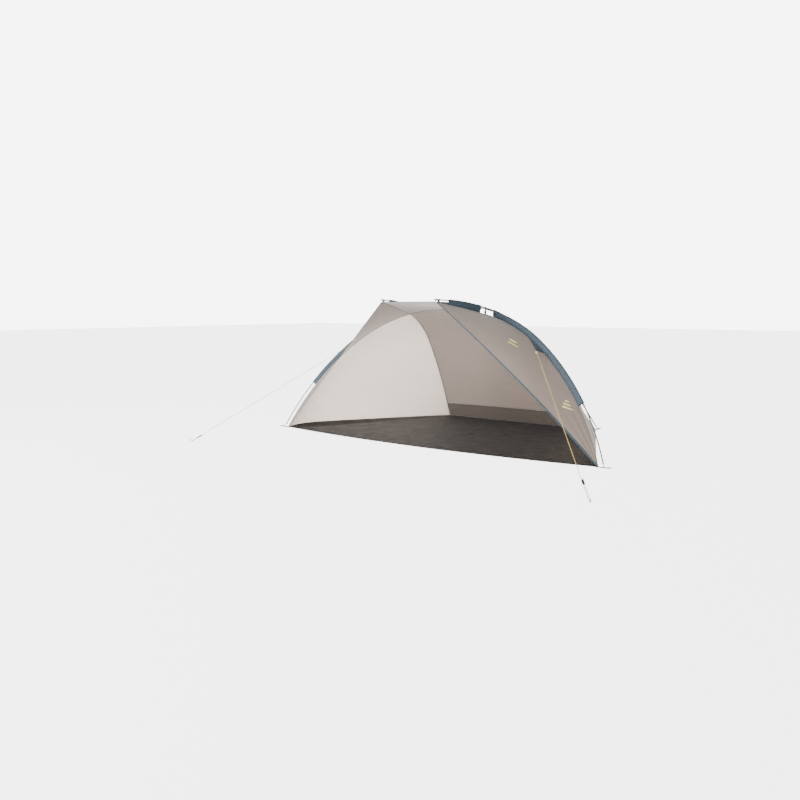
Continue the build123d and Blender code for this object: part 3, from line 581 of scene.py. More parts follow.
def make_crumple_group():
    """Soft creases left by packing: height and a shade that varies slowly."""
    group, given, result = new_group(
        "Packed creases",
        [("Vector", "NodeSocketVector", None), ("Size", "NodeSocketFloat", 0.06)],
        [("Height", "NodeSocketFloat"), ("Shade", "NodeSocketFloat")],
    )
    scale = maths(group, "DIVIDE", 1.0, given.outputs["Size"])
    fine = node(group, "ShaderNodeTexNoise", values={"Detail": 4.0, "Roughness": 0.55, "Distortion": 0.8})
    broad = node(group, "ShaderNodeTexNoise", values={"Detail": 2.0, "Roughness": 0.5})
    ridges = node(group, "ShaderNodeTexVoronoi", feature="DISTANCE_TO_EDGE")
    for texture, factor in ((fine, 1.0), (broad, 0.25), (ridges, 0.35)):
        group.links.new(given.outputs["Vector"], texture.inputs["Vector"])
        group.links.new(maths(group, "MULTIPLY", scale, factor), texture.inputs["Scale"])
    near = maths(group, "SUBTRACT", 0.06, ridges.outputs["Distance"], clamp=True)
    ridge = maths(group, "MULTIPLY", near, 3.0)
    group.links.new(maths(group, "ADD", fine.outputs["Fac"], ridge), result.inputs["Height"])
    group.links.new(broad.outputs["Fac"], result.inputs["Shade"])
    return group


def make_stitch_group():
    """Lockstitch rows beside an edge: a mask of the threads."""
    group, given, result = new_group(
        "Stitch rows",
        [
            ("Edge", "NodeSocketFloat", 1.0),
            ("Vector", "NodeSocketVector", None),
            ("Inset", "NodeSocketFloat", 0.004),
            ("Stitch length", "NodeSocketFloat", 0.0035),
        ],
        [("Mask", "NodeSocketFloat"), ("Allowance", "NodeSocketFloat")],
    )
    rows = []
    for factor in (1.0, 2.4):
        place = maths(group, "MULTIPLY", given.outputs["Inset"], factor)
        away = maths(group, "ABSOLUTE", maths(group, "SUBTRACT", given.outputs["Edge"], place))
        rows.append(maths(group, "LESS_THAN", away, 0.0006))
    line = maths(group, "MAXIMUM", rows[0], rows[1])
    dash = node(
        group, "ShaderNodeTexWave", wave_type="BANDS", bands_direction="DIAGONAL", wave_profile="SIN"
    )
    group.links.new(given.outputs["Vector"], dash.inputs["Vector"])
    scale = maths(group, "DIVIDE", WAVE_PERIOD, given.outputs["Stitch length"])
    group.links.new(scale, dash.inputs["Scale"])
    dashes = maths(group, "GREATER_THAN", dash.outputs["Fac"], 0.3)
    group.links.new(maths(group, "MULTIPLY", line, dashes), result.inputs["Mask"])
    inside = maths(group, "MULTIPLY", given.outputs["Inset"], 3.2)
    group.links.new(maths(group, "LESS_THAN", given.outputs["Edge"], inside), result.inputs["Allowance"])
    return group


def make_wear_group():
    """Handling marks on hard parts: colour factor and roughness change."""
    group, given, result = new_group(
        "Handling marks",
        [("Vector", "NodeSocketVector", None), ("Scale", "NodeSocketFloat", 60.0)],
        [("Shade", "NodeSocketFloat"), ("Rough", "NodeSocketFloat"), ("Height", "NodeSocketFloat")],
    )
    broad = node(group, "ShaderNodeTexNoise", values={"Detail": 3.0, "Roughness": 0.6})
    scratches = node(group, "ShaderNodeTexNoise", values={"Detail": 6.0, "Roughness": 0.7, "Distortion": 1.5})
    group.links.new(given.outputs["Vector"], broad.inputs["Vector"])
    group.links.new(given.outputs["Scale"], broad.inputs["Scale"])
    group.links.new(given.outputs["Vector"], scratches.inputs["Vector"])
    group.links.new(maths(group, "MULTIPLY", given.outputs["Scale"], 12.0), scratches.inputs["Scale"])
    group.links.new(broad.outputs["Fac"], result.inputs["Shade"])
    group.links.new(scratches.outputs["Fac"], result.inputs["Rough"])
    group.links.new(scratches.outputs["Fac"], result.inputs["Height"])
    return group


GROUPS = {
    "weave": ("Plain weave", make_weave_group),
    "crumple": ("Packed creases", make_crumple_group),
    "stitch": ("Stitch rows", make_stitch_group),
    "wear": ("Handling marks", make_wear_group),
}


def shared_group(kind):
    """The node group of that kind, made on first use."""
    label, make = GROUPS[kind]
    return bpy.data.node_groups.get(label) or make()


def place_group(tree, kind, vector, **values):
    made = tree.nodes.new("ShaderNodeGroup")
    made.node_tree = shared_group(kind)
    tree.links.new(vector, made.inputs["Vector"])
    for label, value in values.items():
        made.inputs[label.replace("_", " ")].default_value = value
    return made


def ranged(tree, value, low, high):
    """Map a 0 to 1 value on to a range."""
    made = node(tree, "ShaderNodeMapRange", values={"To Min": low, "To Max": high})
    tree.links.new(value, made.inputs["Value"])
    return made.outputs["Result"]


def blended(tree, factor, first, second):
    """Mix two colours by a factor socket; returns the colour output."""
    made = node(tree, "ShaderNodeMix", data_type="RGBA")
    tree.links.new(factor, made.inputs["Factor"])
    for value, socket in ((first, made.inputs[6]), (second, made.inputs[7])):
        if isinstance(value, bpy.types.NodeSocket):
            tree.links.new(value, socket)
        else:
            socket.default_value = value
    return made.outputs[2]


def mix_shaders(tree, factor, first, second, output):
    """Two shaders mixed by a factor socket and joined to the named output."""
    chosen = tree.nodes.new("ShaderNodeMixShader")
    tree.links.new(factor, chosen.inputs[0])
    tree.links.new(first.outputs[0], chosen.inputs[1])
    tree.links.new(second.outputs[0], chosen.inputs[2])
    tree.links.new(chosen.outputs[0], tree.nodes[output].inputs["Surface"])


def toned(colour, factor):
    return tuple(min(channel * factor, 1.0) for channel in colour) + (1.0,)


def start_material(name, colour):
    material = bpy.data.materials.new(name)
    material.use_nodes = True
    material.diffuse_color = toned(colour, 1.0)
    tree = material.node_tree
    return material, tree, tree.nodes["Principled BSDF"]


def add_bump(tree, shader, height, strength, distance, under=None):
    bump = node(tree, "ShaderNodeBump", values={"Strength": strength, "Distance": distance})
    tree.links.new(height, bump.inputs["Height"])
    if under is not None:
        tree.links.new(under, bump.inputs["Normal"])
    tree.links.new(bump.outputs["Normal"], shader.inputs["Normal"])
    return bump.outputs["Normal"]


def cloth_material(name, colour, threads=900.0, roughness=(0.55, 0.72), sheen=0.25, crease=0.05,
                   stitched=True, variation=0.06, specular=0.35):
    """Coated cloth: weave, packed creases, slow colour variation and stitch rows beside sewn edges."""
    known = bpy.data.materials.get(name)
    if known:
        return known
    material, tree, shader = start_material(name, colour)
    uv = node(tree, "ShaderNodeTexCoord").outputs["UV"]
    weave = place_group(tree, "weave", uv, Threads_per_metre=threads)
    crumple = place_group(tree, "crumple", uv, Size=crease)
    shade = ranged(tree, crumple.outputs["Shade"], 0.0, 1.0)
    cloth = blended(tree, shade, toned(colour, 1 - variation), toned(colour, 1 + variation))
    gaps = ranged(tree, weave.outputs["Mask"], 0.0, 0.16)
    cloth = blended(tree, gaps, cloth, toned(colour, 0.6))
    height = maths(tree, "MULTIPLY", weave.outputs["Height"], 0.12)
    height = maths(tree, "ADD", height, crumple.outputs["Height"])
    if stitched:
        edge = node(tree, "ShaderNodeAttribute", attribute_name="edge")
        rows = place_group(tree, "stitch", uv)
        tree.links.new(edge.outputs["Fac"], rows.inputs["Edge"])
        cloth = blended(tree, ranged(tree, rows.outputs["Allowance"], 0.0, 0.18), cloth, toned(colour, 0.72))
        cloth = blended(tree, ranged(tree, rows.outputs["Mask"], 0.0, 0.7), cloth, toned(colour, 0.45))
        height = maths(tree, "SUBTRACT", height, maths(tree, "MULTIPLY", rows.outputs["Mask"], 0.5))
    tree.links.new(cloth, shader.inputs["Base Color"])
    tree.links.new(ranged(tree, crumple.outputs["Height"], *roughness), shader.inputs["Roughness"])
    add_bump(tree, shader, height, 0.35, 0.0012)
    shader.inputs["Sheen Weight"].default_value = sheen
    shader.inputs["Sheen Roughness"].default_value = 0.4
    shader.inputs["Specular IOR Level"].default_value = specular
    return material


def hard_material(name, colour, roughness=(0.3, 0.45), metallic=0.0, scale=60.0, grain=0.15, variation=0.12):
    """Moulded plastic, fibreglass or steel with handling marks."""
    known = bpy.data.materials.get(name)
    if known:
        return known
    material, tree, shader = start_material(name, colour)
    place = node(tree, "ShaderNodeTexCoord").outputs["Object"]
    wear = place_group(tree, "wear", place, Scale=scale)
    tree.links.new(
        blended(tree, wear.outputs["Shade"], toned(colour, 1 - variation), toned(colour, 1 + variation)),
        shader.inputs["Base Color"],
    )
    tree.links.new(ranged(tree, wear.outputs["Rough"], *roughness), shader.inputs["Roughness"])
    shader.inputs["Metallic"].default_value = metallic
    add_bump(tree, shader, wear.outputs["Height"], grain, 0.0003)
    return material


def cord_material(name, colour):
    """Braided cord with a diagonal plait that follows the cord."""
    known = bpy.data.materials.get(name)
    if known:
        return known
    material, tree, shader = start_material(name, colour)
    place = node(tree, "ShaderNodeTexCoord").outputs["Object"]
    plait = node(tree, "ShaderNodeTexWave", wave_type="BANDS", bands_direction="DIAGONAL",
                 values={"Scale": 260.0, "Distortion": 2.0, "Detail": 2.0})
    tree.links.new(place, plait.inputs["Vector"])
    wear = place_group(tree, "wear", place, Scale=25.0)
    strands = ranged(tree, plait.outputs["Fac"], 0.0, 0.35)
    cord = blended(tree, strands, toned(colour, 1.0), toned(colour, 0.55))
    cord = blended(tree, ranged(tree, wear.outputs["Shade"], 0.0, 0.2), cord, toned(colour, 1.25))
    tree.links.new(cord, shader.inputs["Base Color"])
    tree.links.new(ranged(tree, wear.outputs["Rough"], 0.6, 0.8), shader.inputs["Roughness"])
    add_bump(tree, shader, plait.outputs["Fac"], 0.5, 0.0005)
    return material


def paint_node(name, material):
    """Give a carried-over CAD node a better material."""
    data = frame["nodes"][name].data
    if not data.materials:
        data.materials.append(material)
    for index in range(len(data.materials)):
        data.materials[index] = material


def settings(context):
    return context.scene.shelter_sizes, context.scene.shelter_colours


# ---------------------------------------------------------------- guylines
def peg_point(side):
    """Middle of a peg's foot on the ground, from the CAD pegs."""
    mesh = frame["nodes"]["guy_pegs"].data
    sign = -1 if side == "left" else 1
    feet = [v.co for v in mesh.vertices if v.co.x * sign > 0 and v.co.z < 0.0005]
    return sum(feet, Vector()) / len(feet)


def pull_direction(shelter):
    """Direction in which the guylines pull the left gusset, and the middle of its sewn edge."""
    upper = shelter.hoop.at(shelter.hoop_seam_at(shelter.sizes.gusset_top))
    lower = shelter.hoop.at(shelter.hoop_seam_at(shelter.sizes.gusset_bottom))
    root = (upper + lower) / 2
    mean_peg = (peg_point("left") + mirrored(peg_point("right"))) / 2
    return (mean_peg - root).normalized(), root, upper, lower


def guyline_frame(shelter, side):
    """Start of a guyline at its ring, its direction, and the direction to its second strand."""
    s = shelter.sizes
    pull, root, _, _ = pull_direction(shelter)
    start = root + pull * (s.gusset_drop + 2 * s.guy_ring_radius + s.guy_ring_wire)
    start = start if side == "left" else mirrored(start)
    loop = peg_point(side) + UP * s.peg_loop_height
    lateral = UP.cross(loop - start).normalized()
    along = (loop - lateral * (s.strand_gap / 2) - start).normalized()
    return start, along, lateral, (loop - start).dot(along) + s.strand_gap / 2


def spline_data(name, points, steps):
    """Curve with one smooth spline on given points."""
    data = bpy.data.curves.new(name, "CURVE")
    data.dimensions = "3D"
    spline = data.splines.new("NURBS")
    spline.points.add(len(points) - 1)
    for target, point in zip(spline.points, points):
        target.co = (*point, 1)
    spline.order_u = 3
    spline.use_endpoint_u = True
    spline.resolution_u = steps
    return data


def cord_curve(name, points, diameter, material):
    """Cord as one smooth round spline."""
    data = spline_data(name, points, 12)
    data.bevel_depth = diameter / 2
    data.bevel_resolution = 4
    data.use_fill_caps = True
    data.materials.append(material)
    piece = bpy.data.objects.new(name, data)
    bpy.context.scene.collection.objects.link(piece)
    return piece


def spline_route(points):
    """Points along the smooth spline, read from the curve made without a bevel."""
    probe = bpy.data.objects.new("measure", spline_data("measure", points, 24))
    mesh = bpy.data.meshes.new_from_object(probe)
    route = [vert.co.copy() for vert in mesh.vertices]
    bpy.data.objects.remove(probe)
    return route


def route_length(route):
    return sum((second - first).length for first, second in zip(route, route[1:]))


def solid_copy(piece):
    """Mesh of the same name in place of a curve."""
    name = piece.name
    mesh = bpy.data.meshes.new_from_object(piece)
    bpy.data.objects.remove(piece)
    solid = bpy.data.objects.new(name, mesh)
    bpy.context.scene.collection.objects.link(solid)
    return solid


def wound_knot(name, centre, axis, cord, turns, radius, material, body=BODY):
    """Cord wound round itself: a helix of turns made by a screw of the cord's section."""
    mesh = bmesh.new()
    bmesh.ops.create_circle(mesh, cap_ends=False, segments=10, radius=cord / 2)
    bmesh.ops.rotate(mesh, verts=mesh.verts, matrix=Matrix.Rotation(pi / 2, 3, "X"))
    bmesh.ops.translate(mesh, verts=mesh.verts, vec=(radius, 0, -turns * cord * 0.5))
    bmesh.ops.spin(
        mesh,
        geom=mesh.verts[:] + mesh.edges[:],
        cent=(0, 0, 0),
        axis=(0, 0, 1),
        dvec=(0, 0, cord / 14),
        angle=2 * pi * turns,
        steps=14 * turns,
        use_merge=False,
        use_duplicate=False,
    )
    bmesh.ops.holes_fill(mesh, edges=[edge for edge in mesh.edges if edge.is_boundary])
    bmesh.ops.recalc_face_normals(mesh, faces=mesh.faces)
    turn = UP.rotation_difference(axis).to_matrix().to_4x4()
    bmesh.ops.transform(mesh, matrix=Matrix.Translation(centre) @ turn, verts=mesh.verts)
    piece = finish_piece(name, mesh, material)
    if body != BODY:
        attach(piece, body)
    return piece


class SHELTER_OT_guylines(bpy.types.Operator):
    """Two guylines with their running ends, knots and rings"""

    bl_idname = "shelter.guylines"
    bl_label = "Guylines"

    def execute(self, context):
        s, colours = settings(context)
        shelter = Shelter(s)
        cord = cord_material("Guy cord", colours.cord)
        for side in ("left", "right"):
            self.guyline(shelter, side, cord)
        return {"FINISHED"}

    def guyline(self, shelter, side, material):
        s = shelter.sizes
        start, along, lateral, turn = guyline_frame(shelter, side)
        gap = lateral * s.strand_gap
        end = start + along * turn
        before = start + along * (turn - 6 * s.cord_diameter)
        main_route = [start, before, end, end + gap / 2]
        main = cord_curve(f"{side}_guy_cord", main_route, s.cord_diameter, material)
        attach(main, BODY)
        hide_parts(f"{side}_guyline")
        reach = s.left_slider_reach if side == "left" else s.right_slider_reach
        tail_at = turn - s.strand_gap / 2 - reach - s.slider_length / 2 - s.tail_reach
        tail_end = start + along * tail_at + gap
        tail_route = [end + gap / 2, end + gap, before + gap, tail_end]
        tail = solid_copy(cord_curve(f"{side}_guy_cord_end", tail_route, s.cord_diameter, material))
        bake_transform(tail)
        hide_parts(f"{side}_guyline_tail")
        cord = s.cord_diameter
        knot_at = start + along * 0.011
        knot = wound_knot(f"{side}_guy_ring_knot", knot_at, along, cord, 4, cord * 0.9, material)
        stop = wound_knot(
            f"{side}_guy_stop_knot", tail_end, along, cord, 2, cord * 0.8, material, f"{side}_slider"
        )
        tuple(start)
        route_length(spline_route(main_route))
        route_length(spline_route(tail_route))
        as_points(spline_route(tail_route))


# ---------------------------------------------------------------- canopy
def edge_distances(width, depth):
    """Distance from the nearest side of a sheet, from its shares."""
    return lambda row, column: min(row * width, (1 - row) * width, column * depth, (1 - column) * depth)


def panel_relief(corners, seed, swell, width, depth):
    """Relief of a tensioned panel: slow waves, corner creases and puckers beside its seams."""
    distance = edge_distances(width, depth)

    def relief(row, column, point):
        edge = distance(row, column)
        free = smooth_step(edge, 0.0, 0.10)
        u, v = point.dot(Vector((1, 0.4, 0))), point.dot(Vector((0, 0.2, 1)))
        slow = swell * free * unevenness(u, v, seed, 0.32)
        slack = swell * 0.45 * free * unevenness(u * 0.5, v * 2.2, seed + 7, 0.12)
        pucker = 0.0009 * exp(-edge / 0.020) * noise.noise(point * 42 + Vector((seed, 0, 0)))
        creases = strain_creases(point, corners, seed) * smooth_step(edge, 0.0, 0.05)
        return slow + slack + pucker + creases

    return relief


class PanelPlan:
    """Surface, size and strained corners of one cloth panel of the left side."""

    def __init__(self, surface, rows, columns, width, depth, corners, warp, weft, tip):
        self.surface, self.rows, self.columns = surface, rows, columns
        self.width, self.depth = width, depth
        self.corners, self.warp, self.weft, self.tip = corners, warp, weft, tip


def wing_plan(shelter):
    surface = ruled(shelter.front_edge, shelter.leg_seam, shelter.brow_seam)
    gusset = pull_direction(shelter)[1]
    corners = [
        (shelter.foot, 0.30, 0.0035, 16.0),
        (shelter.brow, 0.30, 0.0035, 14.0),
        (shelter.junction, 0.16, 0.0022, 12.0),
        (gusset, 0.14, 0.0022, 9.0),
    ]
    warp = (shelter.brow - shelter.foot).normalized()
    weft = warp.cross((shelter.junction - shelter.foot).cross(warp)).normalized()
    return PanelPlan(surface, 150, 44, 1.50, 0.42, corners, warp, weft, True)


def side_plan(shelter):
    surface = ruled(shelter.leg_seam, shelter.ground_edge, shelter.rear_seam)
    corners = [
        (shelter.foot, 0.35, 0.0040, 14.0),
        (shelter.junction, 0.30, 0.0040, 12.0),
        (shelter.rear_foot, 0.30, 0.0035, 12.0),
    ]
    warp = (shelter.rear_foot - shelter.foot).normalized()
    weft = warp.cross((shelter.junction - shelter.foot).cross(warp)).normalized()
    return PanelPlan(surface, 150, 110, 1.55, 1.35, corners, warp, weft, True)


def roof_plan(shelter):
    right_brow = lambda share: mirrored(shelter.brow_seam(share))
    surface = ruled(shelter.brow_edge, shelter.crown_seam, right_brow, shelter.brow_seam)
    corners = [(p, 0.16, 0.0022, 12.0) for p in (shelter.brow, mirrored(shelter.brow), shelter.junction)]
    return PanelPlan(surface, 60, 50, 0.62, 0.48, corners, ACROSS, Vector((0, 1, 0)), False)


def back_plan(shelter):
    right_rear = lambda share: mirrored(shelter.rear_seam(share))
    surface = ruled(shelter.crown_seam, shelter.rear_edge, right_rear, shelter.rear_seam)
    corners = [
        (shelter.junction, 0.25, 0.0035, 12.0),
        (mirrored(shelter.junction), 0.25, 0.0035, 12.0),
        (shelter.rear_foot, 0.25, 0.0035, 12.0),
        (mirrored(shelter.rear_foot), 0.25, 0.0035, 12.0),
    ]
    weft = (shelter.junction - shelter.rear_foot)
    weft.x = 0
    return PanelPlan(surface, 120, 140, 1.10, 1.45, corners, ACROSS, weft.normalized(), False)


def panel_sheet(name, plan, seed, swell, mirror=False, surface=None, rows=None, columns=None):
    """Cloth panel with its relief; mirror makes the one of the right side."""
    rows, columns = rows or plan.rows, columns or plan.columns
    sheet = ClothSheet(name, surface or plan.surface, rows, columns, INSIDE, mirror)
    corners = [(mirrored(c[0]), *c[1:]) for c in plan.corners] if mirror else plan.corners
    sheet.mark_edges(edge_distances(plan.width, plan.depth))
    sheet.relieve(panel_relief(corners, seed, swell, plan.width, plan.depth))
    warp = mirrored(plan.warp) if mirror else plan.warp
    weft = mirrored(plan.weft) if mirror else plan.weft
    sheet.flatten_uv(warp, weft)
    return sheet


class SHELTER_OT_wings(bpy.types.Operator):
    """Two front wings between the bound front edges and the hoop seam"""

    bl_idname = "shelter.wings"
    bl_label = "Wings"

    def execute(self, context):
        s, colours = settings(context)
        plan = wing_plan(Shelter(s))
        taupe = cloth_material("Taupe cloth", colours.taupe)
        for side, seed in (("left", 3.0), ("right", 11.0)):
            sheet = panel_sheet(f"{side}_wing_cloth", plan, seed, 0.0035, side == "right")
            piece = sheet.finish(taupe, s.cloth_thickness, TIP_MERGE)
            stand_in(f"{side}_wing_panel")
        return {"FINISHED"}


class SHELTER_OT_side_walls(bpy.types.Operator):
    """Two cream side walls"""

    bl_idname = "shelter.side_walls"
    bl_label = "Side walls"

    def execute(self, context):
        s, colours = settings(context)
        plan = side_plan(Shelter(s))
        cream = cloth_material("Cream cloth", colours.cream, variation=0.035)
        for side, seed in (("left", 5.0), ("right", 17.0)):
            sheet = panel_sheet(f"{side}_side_cloth", plan, seed, 0.0055, side == "right")
            piece = sheet.finish(cream, s.cloth_thickness, TIP_MERGE)
            stand_in(f"{side}_side_panel")
        return {"FINISHED"}


class SHELTER_OT_roof(bpy.types.Operator):
    """Roof between the brow edge, the hoop seam and the two side seams"""

    bl_idname = "shelter.roof"
    bl_label = "Roof"

    def execute(self, context):
        s, colours = settings(context)
        plan = roof_plan(Shelter(s))
        sheet = panel_sheet("roof_cloth", plan, 23.0, 0.0025)
        piece = sheet.finish(cloth_material("Taupe cloth", colours.taupe), s.cloth_thickness)
        stand_in("roof_panel")
        return {"FINISHED"}


class SHELTER_OT_back(bpy.types.Operator):
    """Back panel and the dark mud wall at its foot"""

    bl_idname = "shelter.back"
    bl_label = "Back"

    def execute(self, context):
        s, colours = settings(context)
        shelter = Shelter(s)
        plan = back_plan(shelter)
        top_share = self.share_at(plan.surface, s.mud_wall_height)
        back = lambda row, column: plan.surface(row, column * top_share)
        sheet = panel_sheet("back_cloth", plan, 29.0, 0.0045, surface=back)
        piece = sheet.finish(cloth_material("Taupe cloth", colours.taupe), s.cloth_thickness)
        stand_in("back_panel")
        wall = lambda row, column: plan.surface(row, top_share + (1 - top_share) * column)
        plan.depth, plan.corners = 0.14, plan.corners[2:]
        sheet = panel_sheet("mud_wall_cloth", plan, 31.0, 0.0050, surface=wall, columns=18)
        mud = cloth_material("Mud wall cloth", colours.mud, threads=650.0, roughness=(0.45, 0.62))
        piece = sheet.finish(mud, s.cloth_thickness)
        stand_in("rear_mud_wall")
        return {"FINISHED"}

    def share_at(self, surface, height):
        low, high = 0.0, 1.0
        for _ in range(30):
            middle = (low + high) / 2
            low, high = (middle, high) if surface(0.5, middle).z > height else (low, middle)
        return low


class SHELTER_OT_groundsheet(bpy.types.Operator):
    """Groundsheet with its sides turned up to the side walls"""

    bl_idname = "shelter.groundsheet"
    bl_label = "Groundsheet"

    def execute(self, context):
        s, colours = settings(context)
        shelter = Shelter(s)
        sill = bowed(shelter.foot, mirrored(shelter.foot), Vector((0, -s.sill_bow, 0)))

        def surface(row, column):
            left, right = shelter.ground_edge(column), mirrored(shelter.ground_edge(column))
            point = left.lerp(right, row)
            bow = sill(row) - shelter.foot.lerp(mirrored(shelter.foot), row)
            point += bow * (1 - column)
            width = right.x - left.x
            near = min(row, 1 - row) * width
            lift = left.z * (1 - smooth_step(near, 0.0, 0.11))
            point.z = lift + s.cloth_thickness
            return point

        def relief(row, column, point):
            u, v = point.x, point.y
            edge = min(row, 1 - row, column, 1 - column) * 2.0
            cross_ridge = abs(unevenness(u * 1.3 + v, v * 2 - u, 43.0, 0.22))
            ridge = abs(unevenness(u, v, 41.0, 0.34)) + 0.5 * cross_ridge
            folds = 0.0030 * max(0.0, 1 - ridge * 4.5)
            slow = 0.0016 * (1 + unevenness(u, v, 47.0, 0.25))
            return (folds + slow) * smooth_step(edge, 0.0, 0.12)

        sheet = ClothSheet("groundsheet_cloth", surface, 220, 130, None)
        sheet.mark_edges(edge_distances(2.4, 1.4))
        sheet.turn_over(sum(face.normal.z for face in sheet.mesh.faces) < 0)
        sheet.relieve(relief)
        sheet.flatten_uv(Vector((1, 0, 0)), Vector((0, 1, 0)))
        ground = cloth_material(
            "Ground cloth", colours.ground, threads=380.0, roughness=(0.55, 0.75), sheen=0.02, crease=0.09,
            variation=0.12, specular=0.15,
        )
        piece = sheet.finish(ground, s.cloth_thickness)
        stand_in("groundsheet")
        return {"FINISHED"}


# ---------------------------------------------------------------- sleeves and gussets
def teardrop(share, standoff, radius, gap):
    """Section of a sleeve, from its seam round the pole and back, as outward and sideways distances."""
    open_angle = acos(radius / standoff)
    flank = sqrt(standoff**2 - radius**2)
    bend = radius * (2 * pi - 2 * open_angle)
    along = share * (2 * flank + bend)
    if along > flank + bend / 2:
        outward, sideways = teardrop(1 - share, standoff, radius, gap)
        return outward, -sideways
    if along < flank:
        rise = along / flank
        swell = SLEEVE_SWELL * sin(pi * rise)
        outward = rise * (standoff - radius * cos(open_angle))
        return outward, gap * (1 - rise) + rise * radius * sin(open_angle) + swell
    turned = open_angle + (along - flank) / radius
    return standoff - radius * cos(turned), radius * sin(turned)


class SHELTER_OT_sleeves(bpy.types.Operator):
    """Blue pole sleeves sewn along the hoop seam and the side seams"""

    bl_idname = "shelter.sleeves"
    bl_label = "Sleeves"

    def execute(self, context):
        s, colours = settings(context)
        shelter = Shelter(s)
        blue = cloth_material("Sleeve cloth", colours.blue, crease=0.035)
        hoop, pole = shelter.hoop, shelter.side_pole
        end = s.sleeve_end_height
        hoop_over = lambda along: (hoop.at(along) + hoop.outward(along) * s.hoop_standoff).z - end
        side_over = lambda along: pole.at(along).z - end
        hoop_low = hoop.where(hoop_over, 0, hoop.length / 2)
        side_low = pole.where(side_over, 0, shelter.pole_crossing)
        bare = s.junction_bare * s.shoulder_radius / (s.shoulder_radius + s.hoop_standoff)
        leg = (hoop_low, shelter.crossing - bare)
        crown = (shelter.crossing + bare, hoop.length - shelter.crossing - bare)
        rear = (side_low, shelter.pole_crossing - s.junction_bare)
        front = (shelter.pole_crossing + s.junction_bare, pole.length - s.tip_ahead - s.brow_bare)
        runs = [
            ("hoop_sleeve_left", shelter.hoop_station, hoop.across, leg, False),
            ("hoop_sleeve_right", shelter.hoop_station, hoop.across, leg, True),
            ("hoop_sleeve_centre", shelter.hoop_station, hoop.across, crown, False),
            ("left_rear_sleeve", shelter.side_station, pole.across, rear, False),
            ("right_rear_sleeve", shelter.side_station, pole.across, rear, True),
            ("left_brow_sleeve", shelter.side_station, pole.across, front, False),
            ("right_brow_sleeve", shelter.side_station, pole.across, front, True),
        ]
        for seed, (name, station, across, ends, mirror) in enumerate(runs):
            piece = self.sleeve(s, name, station, across, ends, mirror, blue, 50.0 + 3 * seed)
            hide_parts(name)
        for name, mirror in (("left_brow_strip", False), ("right_brow_strip", True)):
            self.brow_strip(s, shelter, name, front[1], mirror, blue)
        return {"FINISHED"}

    def sleeve(self, s, name, station, across, ends, mirror, material, seed):
        start, reach = ends[0], ends[1] - ends[0]
        rows = max(24, int(reach / SLEEVE_STEP))
        stations = [station(start + reach * row / rows) for row in range(rows + 1)]
        depth = 2 * max(standoff for _, _, standoff in stations) + 3 * s.sleeve_radius

        def surface(row, column):
            seam, outwards, standoff = stations[round(row * rows)]
            outward, sideways = teardrop(column, standoff, s.sleeve_radius, SLEEVE_GAP)
            hem = 1 + HEM_FLARE * (1 - smooth_step(min(row, 1 - row) * reach, HEM_START, HEM_END))
            return seam + outwards * outward + across * (sideways * hem)

        def relief(row, column, point):
            along = reach * row
            flank = sin(pi * min(column, 1 - column) * 2) ** 0.5
            gathers = noise.noise(Vector((along / GATHER_LENGTH, column * 3, seed)))
            slow = noise.noise(Vector((along / WAVE_LENGTH, column * 2, seed + 5)))
            return flank * (GATHER_DEPTH * gathers + WAVE_DEPTH * slow)

        sheet = ClothSheet(f"{name}_cloth", surface, rows, SLEEVE_COLUMNS, None, mirror)
        sheet.mark_edges(edge_distances(reach, depth))
        facing = 0.0
        for face in sheet.mesh.faces:
            row, _ = sheet.shares[face.verts[0].index]
            seam, outwards, standoff = stations[round(row * rows)]
            centre = seam + outwards * standoff
            centre = mirrored(centre) if mirror else centre
            facing += face.normal.dot(face.calc_center_median() - centre)
        sheet.turn_over(facing < 0)
        sheet.relieve(relief)
        sheet.share_uv(reach, depth)
        piece = sheet.finish(material, s.cloth_thickness)
        return piece

    def brow_strip(self, s, shelter, name, sleeve_end, mirror, material):
        """Seam strip under the bare pole tip: it narrows from the sleeve to the roof's front corner."""
        seam, _, _ = shelter.side_station(sleeve_end)
        share = (seam - shelter.brow).length / (shelter.junction - shelter.brow).length
        run = (seam - shelter.brow).length

        def surface(row, column):
            place = STRIP_START + (share - STRIP_START) * row
            height = STRIP_HEIGHT * (0.08 + 0.92 * row)
            return shelter.brow_seam(place) + shelter.side.y_axis * (height * column)

        sheet = ClothSheet(name, surface, 24, 6, None, mirror)
        sheet.mark_edges(edge_distances(run, STRIP_HEIGHT))
        sheet.share_uv(run, STRIP_HEIGHT)
        piece = sheet.finish(material, SEWN_LAYERS * s.cloth_thickness)


